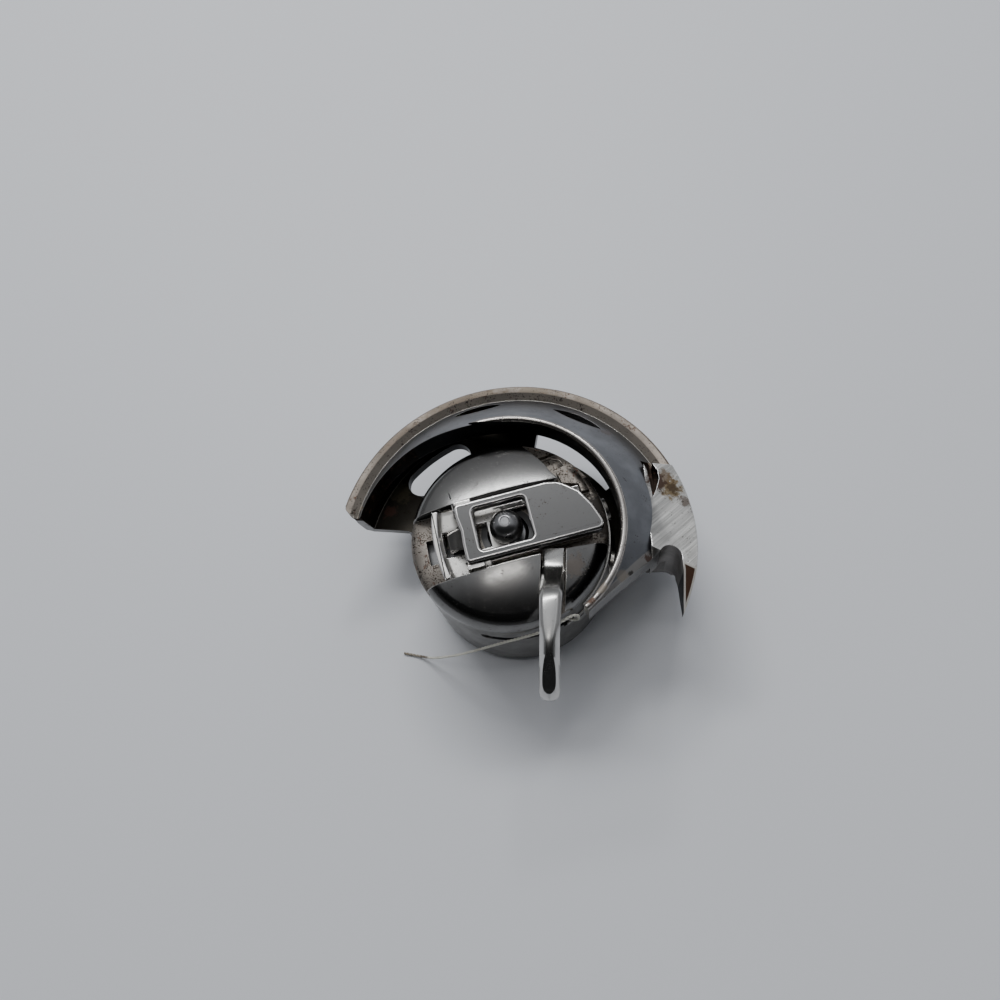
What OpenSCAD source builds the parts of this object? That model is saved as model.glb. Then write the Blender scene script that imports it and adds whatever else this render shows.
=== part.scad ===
// Bobbin case seated in its oscillating shuttle hook.
// The hook axis is Z, the hook rests on its back at z = 0, and the open side of its crescent faces -Y.

/* [Hook] */
// Diameter of the race rib, which runs in the shuttle race
race_d = 41; // [40.4:0.1:42]
// Width of the race rib along the axis
race_rib_w = 1.6; // [1:0.1:2.2]
// Height of the rib over the hook body
rib_stand = 1.1; // [0.8:0.1:1.4]
// Depth of the rib's front face below the case's face
rib_drop = 2.5; // [2.2:0.1:2.8]
// Height of the front lip over the rib's front face
lip_rise = 6.1; // [5.6:0.1:6.4]
// Radial gap between the case and the front lip
lip_gap = 1.2; // [1.1:0.1:1.5]
// Depth of the lip's inner wall
lip_wall_h = 3; // [2:0.1:3.6]
// Step from the hook body in to the foot of the front cone
cone_inset = 0.7; // [0.4:0.1:0.9]
// Depth of the groove between the cone and the rib
groove_h = 0.6; // [0.3:0.1:1]
// Thickness of the cone along the axis
cone_wall = 2.9; // [2:0.1:3.2]
// Thickness of the outer wall
outer_wall = 1.2; // [0.9:0.1:1.6]
// Height of the underside of the web
web_z = 5.5; // [5:0.1:6]
// Thickness of the web
web_t = 1.4; // [1:0.1:1.8]
// Radial gap between the case and the cup that joins the web to the back
cup_gap = 1; // [0.8:0.1:1.1]
// Thickness of the cup's wall
cup_wall = 0.9; // [0.7:0.1:1.2]
// Diameter of the back disc
back_d = 21; // [20:0.1:21.6]
// Thickness of the back disc
back_t = 1.2; // [1:0.1:1.5]
// Angle that the beak reaches below the X axis
beak_angle = 27; // [25:0.5:28]
// Width of the beak at its root
beak_w = 2; // [1.8:0.05:2.2]

/* [Post] */
// Diameter of the post in the case's tube
post_d = 4.5; // [4.2:0.1:4.6]
// Diameter of the neck that the slide holds
neck_d = 2.5; // [2.2:0.1:2.8]
// Diameter of the domed head
head_d = 3.6; // [3.4:0.1:3.9]
// Height of the head's top over the lever's face
head_stand = 0.4; // [0:0.1:0.8]

/* [Bobbin] */
// Diameter of the flanges
bobbin_d = 20.3; // [19.8:0.1:20.4]
// Height over both flanges
bobbin_h = 11.7; // [11.2:0.1:12]
// Thickness of each flange
flange_t = 0.5; // [0.4:0.1:0.8]
// Outside diameter of the bobbin's core
core_d = 8; // [7.4:0.1:9]
// Diameter of the thread left on the core
winding_d = 14.6; // [10:0.1:19]
// Diameter of the holes in a flange
flange_hole_d = 2.4; // [1.6:0.1:2.6]

/* [Bobbin case] */
// Radial play of the bobbin in the case
bobbin_side = 0.15; // [0.1:0.05:0.3]
// Thickness of the case's wall
case_wall = 0.7; // [0.5:0.05:0.72]
// Gap between the back disc and the rim of the case
case_lift = 0.5; // [0.3:0.1:0.8]
// Depth of the bobbin behind the rim of the case
bobbin_inset = 0.4; // [0.2:0.1:0.8]
// End play of the bobbin behind the face
bobbin_play = 0.4; // [0.2:0.1:0.6]
// Thickness of the face under the channel
face_t = 0.8; // [0.6:0.1:1.2]
// Rise of the domed cheeks over the channel's floor
dome_rise = 2.9; // [2.5:0.1:3]
// Radius of the cheeks' outer edge
dome_edge_r = 2.4; // [1.6:0.1:2.8]
// Rounding of the face's edge at the ends of the latch channel
rim_round = 0.9; // [0.5:0.1:1.2]
// Width of the latch channel
channel_w = 8.3; // [8.1:0.1:8.8]
// Turn of the latch channel from the X axis
latch_turn = 13.2; // [10:0.1:16]
// Outside diameter of the centre tube
tube_d = 6; // [5.6:0.1:6.2]
// Radial clearance of every running fit
run_gap = 0.06; // [0.03:0.01:0.09]
// Axial width of the thread slit
slit_w = 1.2; // [0.8:0.1:1.6]
// Depth of the middle of the thread slit below the case's face
slit_drop = 3.4; // [3:0.1:3.8]

/* [Latch] */
// Width of the lever
lever_w = 6.84; // [6.4:0.02:6.9]
// Thickness of the lever
lever_t = 1.3; // [1:0.1:1.5]
// Height of the lever's face over the channel's floor
lever_face = 3.4; // [3.3:0.1:3.6]
// Distance from the post to the hinge pin
pin_u = 4.05; // [3.95:0.05:4.15]
// Diameter of the hinge pin
pin_d = 0.9; // [0.7:0.05:1]
// Radius of the lever's knuckle
knuckle_r = 0.95; // [0.8:0.05:1]
// Width of the lever's heel
heel_w = 2.4; // [2:0.1:3]
// Thickness of the slide
slide_t = 1; // [0.8:0.05:1.05]
// Side clearance of the slide in the channel
slide_side = 0.15; // [0.1:0.01:0.2]
// Gap under and over the slide
slide_gap = 0.1; // [0.05:0.01:0.12]
// Travel of the slide when the lever is lifted
slide_travel = 1.7; // [1.4:0.1:1.8]
// Height of the slide's upturned edge over its plate
ridge_h = 0.6; // [0.3:0.1:0.9]
// Outside diameter of the latch spring
coil_d = 1.5; // [1.2:0.1:1.6]
// Wire of the latch spring
coil_wire = 0.22; // [0.16:0.02:0.26]
// Turns of the latch spring
coil_turns = 5; // [4:1:6]

/* [Tension spring] */
// Thickness of the leaf
leaf_t = 0.25; // [0.2:0.05:0.3]
// Width of the leaf along the axis
leaf_w = 4.8; // [4:0.1:5.6]
// Diameter of the screws' heads
screw_head_d = 2.6; // [2.2:0.1:3]
// Height of the screws' heads
screw_head_h = 0.5; // [0.4:0.05:0.55]
// Diameter of the screws' shanks
screw_d = 1.4; // [1.2:0.1:1.6]
// Width of the screwdriver slots
driver_slot = 0.45; // [0.3:0.05:0.6]

/* [Position finger] */
// Width of the finger's foot
finger_w = 2.4; // [2:0.1:2.5]
// Width of the finger's blade
finger_blade_w = 2; // [1.6:0.1:2.4]
// Thickness of the finger
finger_t = 1.6; // [1.3:0.05:1.8]
// Distance from the axis to the tip of the finger
finger_reach = 18.4; // [17.6:0.1:19]
// Gap between the hook's lip and the finger
finger_gap = 0.4; // [0.35:0.05:0.6]
// Distance of the finger from the axis, sideways
finger_x = 5.05; // [4.8:0.05:5.3]

/* [Thread] */
// Diameter of the loose thread
thread_d = 0.3; // [0.2:0.05:0.4]

/* [Hidden] */
$fn = 96;
eps = 0.01;
far = 60;

// Case
case_r = bobbin_d / 2 + bobbin_side + case_wall;
case_z = back_t + case_lift;
bobbin_z = case_z + bobbin_inset;
bobbin_top = bobbin_z + bobbin_h;
face_under = bobbin_top + bobbin_play;
floor_z = face_under + face_t;
dome_top = floor_z + dome_rise;
dome_edge_z = floor_z - 0.8;
edge_c = case_r - dome_edge_r;
dome_drop = dome_top - dome_edge_z;
dome_r = (pow(dome_drop, 2) + pow(edge_c, 2) - pow(dome_edge_r, 2)) / (2 * (dome_drop - dome_edge_r));
tube_bore = post_d + 2 * run_gap;
slit_z = floor_z - slit_drop;
slit_from = -112;
slit_to = -58;
eye_from = -59;
eye_to = -49.5;
eye_w = 1.8;

// Hook
race_r = race_d / 2;
race_face_z = floor_z - rib_drop;
lip_z = race_face_z + lip_rise;
lip_r = case_r + lip_gap;
lip_round = 0.35;
outer_r = race_r - rib_stand;
cone_foot_r = outer_r - cone_inset;
cone_foot_z = race_face_z - groove_h;
cone_crest_r = lip_r + 2 * lip_round;
cone_slope = (lip_z - cone_foot_z) / (cone_foot_r - lip_r);
channel_r = outer_r - outer_wall;
under_z = lip_z - lip_wall_h;
cup_r = case_r + cup_gap;
end_angle = -49;          // blunt end of the lip
back_end_angle = -8;      // blunt end of the wall under it
tail_y = 4.1;             // straight end of the tail
tail_tip_r = 1.2;         // rounding of the tail's outer corner
tail_turn = 6;            // the tail's end runs back from the straight end by this angle, in degrees
tail_lean = 7.5;          // lean of the tail's end, in degrees
body_split_z = race_face_z - 2.9; // the cone's end is cut further out than the wall under it
notch = [race_r - 3.15, -3.32]; // middle of the arch between body and beak
notch_r = 1.2;
beak_root_y = -2.1;       // the body behind the arch ends here
beak_slope_y = -3.7;      // the beak's face slopes down from here to its tip
beak_tip = race_r * [cos(beak_angle), -sin(beak_angle)];
land_x = race_r - 5.1;    // inner edge of the ground land beside the beak
land_end_y = 8.4;         // upper end of the land
land_rise = 2.7;          // height of the land over the rib's face at [land_x, 0]
land_tilt_x = 16.7;       // fall of the land outwards, in degrees
land_tilt_y = 9.6;        // fall of the land towards its upper end, in degrees
beak_fall = 24;           // slope of the beak's face, in degrees
beak_under = 36;          // slope of the beak's underside, in degrees

// Latch
lever_top = floor_z + lever_face;
lever_under = lever_top - lever_t;
pin_z = lever_under + 0.15;
slide_z = floor_z + slide_gap;
slide_top = slide_z + slide_t;
neck_top = slide_top + slide_gap;
head_r = head_d / 2;
head_top = lever_top + head_stand;
slide_w = channel_w - 2 * slide_side;
slide_left = 2.85 - case_r;
slide_bow_r = 18;         // its left end is an arc of this radius
slide_right = case_r - 2.2;
lever_end = case_r - 0.9;
slide_neck_u = -2.4;                // the slide is narrower from here to the right
slide_neck_w = 6.2;
ridge_w = 0.7;
hold_u = neck_d / 2 + run_gap;      // the edge that holds the neck
web_u = -2.1;                       // the other side of that edge's bridge
heel_at = [-1.9, -1.25];            // middle of the heel's nose from the hinge pin
heel_r = 0.68;
heel_window = -pin_u + heel_at[0] - heel_r - 0.35;
floor_slot_left = 1.9 - case_r;
floor_slot_right = -pin_u + 0.25;
floor_slot_w = heel_w + 0.5;
ear_t = 0.48;
ear_top = pin_z + 0.6;
window_w = 4.9;
window_left = -3.15;
window_right = 2.62;
peg_u = 4.4;
peg_t = 0.5;
coil_end = 8;
coil_slot_w = coil_d + 0.3;

// Tension spring
leaf_r = case_r + leaf_t;
leaf_from = -45;
leaf_to = 33;
leaf_z = slit_z - 0.6;
prong_w = 0.45;
adjust_angle = -12;
fix_angle = 20;
boss_gap = 0.08;

// Finger
finger_z = lip_z + finger_gap;
finger_top = finger_z + finger_t;
finger_root_y = -2.55;
finger_tip_x = 4.2;
finger_rise_y = -4.6;     // the finger leaves the groove here
finger_flat_y = -9;       // its level part starts here
finger_bend_y = -13.6;    // and ends here
finger_fall = 30;         // slope of its end, in degrees
finger_bevel = 0.45;      // width of the bevels along its top
finger_lean = atan((finger_x - finger_tip_x) / (finger_reach + finger_root_y));
groove_gap = 0.12;
rivet_d = 0.9;

// Loose thread from the eye of the case to its free end: distance from the wall, angle, and height as
// a share of the height of the case's face
tail_route = [
    [-0.39, -55.6, 0.767], [0.1, -54.2, 0.767], [0.54, -52, 0.787], [0.71, -51.4, 0.853],
    [0.72, -52.1, 0.933], [0.53, -55.1, 0.973], [0.42, -60.1, 0.973], [0.42, -66.8, 0.96],
    [0.41, -73.7, 0.94], [0.36, -83.9, 0.887], [0.54, -94.5, 0.813], [1.29, -107, 0.693],
    [2.34, -118.7, 0.507], [3.2, -127.3, 0.307], [4.13, -134.5, 0.12], [5.12, -140.3, 0.027],
    [6.67, -146.3, 0.013]];
tail_path = [for (p = tail_route) concat(polar(case_r + p[0], p[1]), [p[2] * floor_z])];

function polar(r, a) = r * [cos(a), sin(a)];

// Catmull-Rom point between p[i] and p[i + 1]
function along(p, i, t) = let (
    a = p[max(i - 1, 0)], b = p[i], c = p[i + 1], d = p[min(i + 2, len(p) - 1)])
    0.5 * (2 * b + (c - a) * t + (2 * a - 5 * b + 4 * c - d) * t * t
        + (3 * b - 3 * c + d - a) * t * t * t);
function smooth(p, n) = concat(
    [for (i = [0:len(p) - 2], j = [0:n - 1]) along(p, i, j / n)], [p[len(p) - 1]]);
function unit(v) = v / norm(v);
function frame_up(t) = unit(cross(t, abs(t[2]) > 0.9 ? [1, 0, 0] : [0, 0, 1]));

// Round tube of radius r along points p
module sweep(p, r, sides) {
    n = len(p);
    ways = [for (i = [0:n - 1]) unit(p[min(i + 1, n - 1)] - p[max(i - 1, 0)])];
    rings = [for (i = [0:n - 1], k = [0:sides - 1]) let (
        u = frame_up(ways[i]), w = cross(ways[i], u), a = 360 * k / sides)
        p[i] + r * (cos(a) * u + sin(a) * w)];
    walls = [for (i = [0:n - 2], k = [0:sides - 1]) let (
        a = i * sides + k, b = i * sides + (k + 1) % sides) [a, b, b + sides, a + sides]];
    start = [for (k = [sides - 1:-1:0]) k];
    end = [for (k = [0:sides - 1]) (n - 1) * sides + k];
    polyhedron(rings, concat([start], walls, [end]));
}

// Wedge of the plane between two angles
module wedge(from, to) {
    steps = ceil((to - from) / 30);
    polygon(concat([[0, 0]], [for (i = [0:steps]) polar(far, from + (to - from) * i / steps)]));
}

module ring(r, t) {
    difference() {
        circle(r + t);
        circle(r);
    }
}

// Curved wall of inner radius r and thickness t, between two angles and two heights
module curved_wall(r, t, from, to, z, h) {
    translate([0, 0, z]) linear_extrude(h) intersection() {
        ring(r, t);
        wedge(from, to);
    }
}

// Everything above a plane through p that falls outwards by tx along X and by ty along Y
module above(p, tx, ty) {
    translate(p) rotate([-ty, 0, 0]) rotate([0, tx, 0])
        translate([-far / 2, -far / 2, 0]) cube([far, far, far]);
}

module latch_frame() {
    rotate([0, 0, latch_turn]) children();
}

// Outline with square ends from u0 to u1 and w wide
module strip(u0, u1, w) {
    translate([u0, -w / 2]) square([u1 - u0, w]);
}

// The same outline with rounded corners
module rounded_strip(u0, u1, w, r) {
    strip(u0 + r, u1 - r, w);
    strip(u0, u1, w - 2 * r);
    for (u = [u0 + r, u1 - r], v = [r - w / 2, w / 2 - r]) translate([u, v]) circle(r, $fn = 32);
}

/* Hook */

module hook_profile() {
    polygon([[back_d / 2 - 1, 0], [cup_r + cup_wall, 0], [cup_r + cup_wall, web_z],
        [outer_r - 0.8, web_z], [outer_r, web_z + 0.8], [outer_r, race_face_z - race_rib_w],
        [race_r, race_face_z - race_rib_w], [race_r, race_face_z - 0.3],
        [race_r - 0.3, race_face_z], [outer_r + 0.1, race_face_z], [cone_foot_r, cone_foot_z],
        [cone_crest_r, lip_z - 2 * lip_round * cone_slope], [lip_r + lip_round, lip_z - lip_round],
        [lip_r, lip_z - lip_round], [lip_r, under_z],
        [channel_r, under_z - (channel_r - lip_r) * cone_slope],
        [channel_r, web_z + web_t], [cup_r, web_z + web_t], [cup_r, back_t],
        [back_d / 2 - 1, back_t]]);
    translate([lip_r + lip_round, lip_z - lip_round]) circle(lip_round, $fn = 32);
}

// Outline of the crescent, seen from the front, with the given points for its blunt end
module crescent(blunt_end) {
    tip = beak_tip;
    difference() {
        intersection() {
            circle(race_r);
            polygon(concat([[0, 0]], blunt_end, [notch, [race_r - beak_w, notch[1]],
                [race_r - beak_w + 0.1, -4.8], [race_r - beak_w, -6.8], tip + [0.12, 0], [far, tip[1]],
                [far, far], [-far, far], [-far, tail_y - 0.8], [-cup_r - 2, tail_y - 0.8],
                [-cup_r - 1.5, tail_y - 0.2]]));
        }
        translate(notch) circle(notch_r);
        tail_corner();
    }
}

module front_plan() {
    crescent([polar(lip_r - 0.4, end_angle), polar(lip_r + 0.8, end_angle - 0.5), notch + [-0.74, 0.82]]);
}

// The wall under the cone ends further back
module back_plan() {
    crescent([polar(cup_r - 1, back_end_angle), polar(cup_r + cup_wall + 1.4, back_end_angle),
        [notch[0], beak_root_y]]);
}

// Material outside the rounded corner of the tail
module tail_corner() {
    corner = [-sqrt(pow(race_r, 2) - pow(tail_y, 2)), tail_y];
    c = corner + [tail_tip_r + 0.35, tail_tip_r];
    difference() {
        translate(corner - [1, 1]) square([2.35, 1 + tail_tip_r]);
        translate([c[0], corner[1] - 1]) square(far);
        translate(c) circle(tail_tip_r, $fn = 48);
    }
}

// The opening in front runs on towards the tail
module front_opening() {
    tail_c = [-7, 1];
    tail_r = channel_r + tail_c[0];
    circle(lip_r);
    translate(tail_c) circle(tail_r);
    polygon([[0, 0], tail_c, [-7, tail_c[1] + tail_r], [0, lip_r]]);
    translate([-far / 2 + tail_c[0], -far + tail_c[1]]) square([far / 2, far]);
}

module kidney(from, to, round_ends) {
    inner = cup_r + cup_wall + 1;
    outer = channel_r - 0.7;
    mid = (inner + outer) / 2;
    intersection() {
        ring(inner, outer - inner);
        wedge(from, to);
    }
    if (round_ends) for (a = [from, to]) translate(polar(mid, a)) circle((outer - inner) / 2);
}

// Slit with pointed ends, w wide and l long, along the rim at the angle a
module lens(r, a, w, l) {
    bow = (pow(l, 2) + pow(w, 2)) / (4 * w);
    rotate(a) translate([r, 0]) intersection() {
        translate([bow - w / 2, 0]) circle(bow);
        translate([-bow + w / 2, 0]) circle(bow);
    }
}

// Ground land and beak: a solid block under two slanting faces
module land_outline() {
    intersection() {
        front_plan();
        polygon([[land_x, land_end_y], [far, land_end_y], [far, -far], [land_x, -far]]);
    }
}

module land() {
    difference() {
        union() {
            translate([0, 0, body_split_z]) linear_extrude(far) land_outline();
            translate([0, 0, web_z]) linear_extrude(far) land_foot();
        }
        land_cut();
    }
}

// The land's foot stops at the notch, and the beak runs on beside it
module land_foot() {
    intersection() {
        land_outline();
        polygon([[0, beak_root_y], [notch[0], beak_root_y], [notch[0], -far], [far, -far],
            [far, far], [0, far]]);
    }
}

module beak_under_cut() {
    translate([notch[0] - 0.5, beak_root_y, web_z + 0.6]) rotate([-beak_under, 0, 0])
        translate([0, -far, -far]) cube([far, far, far]);
}

// Slanted cut across the end of the tail
module tail_cut() {
    translate([-cup_r - 1.2, tail_y, web_z]) rotate([0, 0, -tail_turn]) rotate([tail_lean, 0, 0])
        translate([-far, -far, -far / 2]) cube([far, far, far]);
}

// Pocket between the cone and the land
module land_pocket() {
    polygon([[-0.3, 9], [0.6, 9.1], [1.5, 7.5], [1.6, 6.4], [1.1, 4.8], [0.65, 3.8], [0.5, 6], [0.3, 7.4]]);
}

module land_cut() {
    above([land_x, 0, race_face_z + land_rise], land_tilt_x, land_tilt_y);
    translate([0, beak_tip[1], race_face_z]) rotate([beak_fall, 0, 0])
        translate([-far / 2, -far / 2, 0]) cube([far, far, far]);
}

module hook_body() {
    color("slategray") difference() {
        union() {
            intersection() {
                rotate_extrude() hook_profile();
                translate([0, 0, body_split_z]) linear_extrude(far) front_plan();
            }
            intersection() {
                rotate_extrude() hook_profile();
                linear_extrude(body_split_z) back_plan();
            }
            cylinder(h = back_t, r = back_d / 2);
            land();
        }
        translate([0, 0, body_split_z - 1]) linear_extrude(far) front_opening();
        translate([0, 0, web_z - 1]) linear_extrude(web_t + 2) {
            kidney(118, 138.5, true);
            kidney(36, 80, false);
        }
        translate([0, 0, body_split_z]) linear_extrude(far) {
            lens(cone_foot_r - 1.4, 103, 1.5, 6.2);
            lens(cone_foot_r - 2, 61, 1.5, 6.4);
        }
        translate([land_x, 0, race_face_z - 0.3]) linear_extrude(far) land_pocket();
        translate([0, 0, -1]) cylinder(h = back_t + 2, r = post_d / 2);
        beak_under_cut();
        tail_cut();
    }
}

module hook_post() {
    shaft_top = floor_z - slide_gap;
    color("dimgray") rotate_extrude() difference() {
        union() {
            polygon([[0, 0], [post_d / 2, 0], [post_d / 2, shaft_top - 0.3], [post_d / 2 - 0.3, shaft_top],
                [neck_d / 2, shaft_top], [neck_d / 2, neck_top], [head_r - 0.15, neck_top],
                [head_r, neck_top + 0.15], [head_r, head_top - head_r], [0, head_top - head_r]]);
            intersection() {
                translate([0, head_top - head_r]) circle(head_r, $fn = 64);
                translate([0, head_top - head_r]) square(far);
            }
        }
        translate([0, head_top - 0.12]) square([0.5, 1]);
    }
}

/* Bobbin case */

module case_solid() {
    blend_r = edge_c * dome_r / (dome_r - dome_edge_r);
    rotate_extrude() {
        translate([0, case_z]) square([case_r, dome_edge_z - case_z]);
        intersection() {
            translate([edge_c, dome_edge_z]) circle(dome_edge_r);
            translate([blend_r, dome_edge_z]) square(far);
        }
        intersection() {
            translate([0, dome_top - dome_r]) circle(dome_r, $fn = 360);
            translate([0, dome_edge_z]) square([blend_r, far]);
        }
    }
}

// Recess beside the upper cheek and the flat block left standing in it
module recess_outline() {
    polygon([[3.4, 12], [4.1, 9.3], [5.15, 7.5], [5.9, 6.1], [6.2, 5.1], [6.9, channel_w / 2 - 0.1],
        [6.9, 0], [12, 0], [12, 12]]);
}

module recess_block() {
    polygon([[6.9, 5.5], [7.85, 5.85], [8.6, 5.7], [9.25, 4.5], [9.75, 3.35], [10.05, 2.3],
        [slide_right + 0.2, 2.3], [slide_right + 0.15, slide_neck_w / 2 + 0.2], [7.2, 3.9]]);
}

module recess_ledge() {
    polygon([[3, 7.55], [5.1, 7.55], [7, 7.75], [12, 8], [12, 12], [3, 12]]);
}

module recess_pocket() {
    polygon([[5.4, 7.4], [6.8, 7.5], [7.7, 7], [8, 6.2], [7.6, 6], [6.8, 5.7], [6.3, 5.5], [6, 6.2]]);
}

module channel_outline() {
    strip(-far / 2, far / 2, channel_w);
    recess_outline();
}

module channel_cut() {
    latch_frame() {
        translate([0, 0, floor_z]) linear_extrude(far) difference() {
            channel_outline();
            recess_block();
            recess_ledge();
        }
        translate([0, 0, floor_z + 0.8]) linear_extrude(far) channel_outline();
        translate([0, 0, floor_z - 0.3]) linear_extrude(far) recess_pocket();
        intersection() {
            rim_cut();
            translate([0, 0, floor_z - 2]) linear_extrude(far) strip(-far / 2, far / 2, channel_w);
        }
    }
}

// Material outside the rounded edge of the face
module rim_cut() {
    c = [case_r - rim_round + 0.05, floor_z - rim_round + 0.05];
    rotate_extrude() difference() {
        translate(c) square(far);
        translate(c) circle(rim_round, $fn = 64);
    }
}

module case_shell() {
    color("gray") difference() {
        union() {
            difference() {
                case_solid();
                channel_cut();
                translate([0, 0, floor_z]) linear_extrude(far) finger_plan(groove_gap);
            }
            latch_frame() translate([peg_u, -coil_d / 2, floor_z - eps]) cube([peg_t, coil_d, coil_d]);
        }
        translate([0, 0, case_z - 1]) cylinder(h = face_under - case_z + 1, r = case_r - case_wall);
        translate([0, 0, face_under - 1]) cylinder(h = far, r = tube_d / 2);
        latch_frame() translate([0, 0, face_under - 1]) linear_extrude(2 + face_t)
            strip(floor_slot_left, floor_slot_right, floor_slot_w);
        thread_slit();
        screw_hole(adjust_angle, screw_d / 2 + run_gap);
        screw_hole(fix_angle, screw_d / 2);
        rivet_places() translate([0, 0, face_under - 1]) cylinder(h = 3, r = rivet_d / 2, $fn = 32);
    }
}

module thread_slit() {
    inner = case_r - case_wall - 1;
    curved_wall(inner, 4, slit_from + 8, slit_to, slit_z - slit_w / 2, slit_w);
    rotate([0, 0, slit_from + 8]) translate([inner, 0, slit_z]) rotate([0, 90, 0])
        cylinder(h = 4, r = slit_w / 2 + 0.15, $fn = 32);
    curved_wall(inner, 4, eye_from, eye_to, slit_z - 0.6 - eye_w / 2, eye_w);
}

module screw_hole(a, r) {
    rotate([0, 0, a]) translate([case_r - 3, 0, leaf_z]) rotate([0, 90, 0]) cylinder(h = 6, r = r, $fn = 48);
}

module case_tube() {
    color("silver") translate([0, 0, case_z + 0.6]) difference() {
        cylinder(h = floor_z - case_z - 0.6, r = tube_d / 2);
        translate([0, 0, -1]) cylinder(h = far, r = tube_bore / 2);
    }
}

/* Position finger */

module finger_axis() {
    translate([finger_x, finger_root_y]) rotate(-90 - finger_lean) children();
}

module finger_plan(gap) {
    reach = finger_reach + finger_root_y;
    tip_r = finger_blade_w / 2;
    foot = finger_w / 2 + gap;
    blade = tip_r + gap;
    finger_axis() {
        polygon([[-gap, -foot], [4.4, -foot], [7.2, -blade - 0.1], [reach - tip_r, -blade],
            [reach - tip_r, blade], [7.2, blade + 0.1], [4.4, foot], [-gap, foot]]);
        translate([reach - tip_r, 0]) circle(blade, $fn = 48);
    }
}

// Corners of the finger's top line, seen from the side
function finger_crest() = let (drop = (finger_reach + finger_bend_y) * tan(finger_fall)) [
    [finger_root_y + 1, floor_z + finger_t], [finger_rise_y + 0.6, floor_z + finger_t],
    [finger_rise_y, floor_z + finger_t + 0.3], [finger_flat_y + 0.9, finger_top - 0.3],
    [finger_flat_y, finger_top], [finger_bend_y + 0.2, finger_top],
    [finger_bend_y - 0.6, finger_top - 0.3], [-finger_reach - 1, finger_top - drop - 0.4]];

module finger_side() {
    drop = (finger_reach + finger_bend_y) * tan(finger_fall);
    polygon(concat([[finger_root_y + 1, floor_z], [finger_rise_y, floor_z],
        [finger_rise_y - 1, floor_z + 0.3], [finger_flat_y - 0.6, finger_z - 0.3],
        [finger_flat_y - 1.4, finger_z], [finger_bend_y + 0.5, finger_z],
        [finger_bend_y - 0.3, finger_z - 0.3], [-finger_reach - 1, finger_z - drop - 0.4]],
        [for (i = [7:-1:0]) finger_crest()[i]]));
}

// Bevels along both sides of the rise, the level part and the fall
module finger_bevels() {
    crest = finger_crest();
    for (i = [2:6], side = [-1, 1]) {
        from = crest[i];
        way = crest[i + 1] - from;
        back = i == 2 ? -0.2 : 0.4;
        edge = side * (finger_blade_w / 2 - finger_bevel);
        finger_axis() translate([finger_root_y - from[0], edge, from[1]])
            rotate([0, -atan2(way[1], -way[0]), 0]) rotate([-side * 42, 0, 0])
                translate([-back, -far / 2, 0]) cube([norm(way) + back + 0.4, far, far]);
    }
}

module position_finger() {
    color("lightslategray") difference() {
        intersection() {
            rotate([90, 0, 90]) linear_extrude(10) finger_side();
            linear_extrude(far) finger_plan(0);
        }
        rivet_places() translate([0, 0, floor_z - 1]) cylinder(h = 2, r = rivet_d / 2, $fn = 32);
        finger_bevels();
    }
}

module rivet_places() {
    for (y = [1, 2.6]) translate([finger_x, finger_root_y, 0]) rotate([0, 0, -90 - finger_lean])
        translate([y, 0, 0]) children();
}

module finger_rivets() {
    color("darkgray") rivet_places() translate([0, 0, face_under])
        cylinder(h = floor_z + 1 - face_under, r = rivet_d / 2, $fn = 32);
}

/* Tension spring and screws */

module tension_spring() {
    color("silver") difference() {
        union() {
            curved_wall(case_r, leaf_t, leaf_from, leaf_to, leaf_z - leaf_w / 2, leaf_w);
            curved_wall(case_r, leaf_t, slit_to + 1, leaf_from + 1, slit_z - 0.9, prong_w);
            curved_wall(case_r, leaf_t, leaf_from - 4, leaf_from + 1, leaf_z - leaf_w / 2, 1.4);
        }
        screw_hole(adjust_angle, screw_d / 2 + run_gap);
        screw_hole(fix_angle, screw_d / 2);
    }
}

module slotted_screw(a, shank_in) {
    rotate([0, 0, a]) translate([0, 0, leaf_z]) rotate([0, 90, 0]) difference() {
        union() {
            translate([0, 0, case_r - shank_in])
                cylinder(h = shank_in + leaf_t + eps, r = screw_d / 2, $fn = 48);
            translate([0, 0, leaf_r + boss_gap]) cylinder(h = screw_head_h, r = screw_head_d / 2, $fn = 64);
            translate([0, 0, leaf_r]) cylinder(h = boss_gap + eps, r = screw_d / 2, $fn = 48);
        }
        translate([-driver_slot / 2, -far / 2, leaf_r + boss_gap + screw_head_h / 2])
            cube([driver_slot, far, far]);
    }
}

module tension_screw() {
    color("silver") slotted_screw(adjust_angle, case_wall - 0.05);
}

module spring_screw() {
    color("silver") slotted_screw(fix_angle, case_wall - 0.05);
}

/* Latch */

// Upturned edge along the slide's bowed end, with a sloping inner side
module slide_ridge() {
    crest = slide_bow_r - ridge_w;
    intersection() {
        translate([slide_left + slide_bow_r, 0, slide_top]) rotate_extrude()
            polygon([[crest - 0.6, -slide_t / 2], [crest - 0.55, 0], [crest - 0.25, 0.25 * ridge_h],
                [crest, ridge_h], [slide_bow_r, ridge_h], [slide_bow_r, -slide_t / 2]]);
        linear_extrude(far) rounded_strip(slide_left, slide_left + 3, slide_w, 0.5);
    }
}

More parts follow.
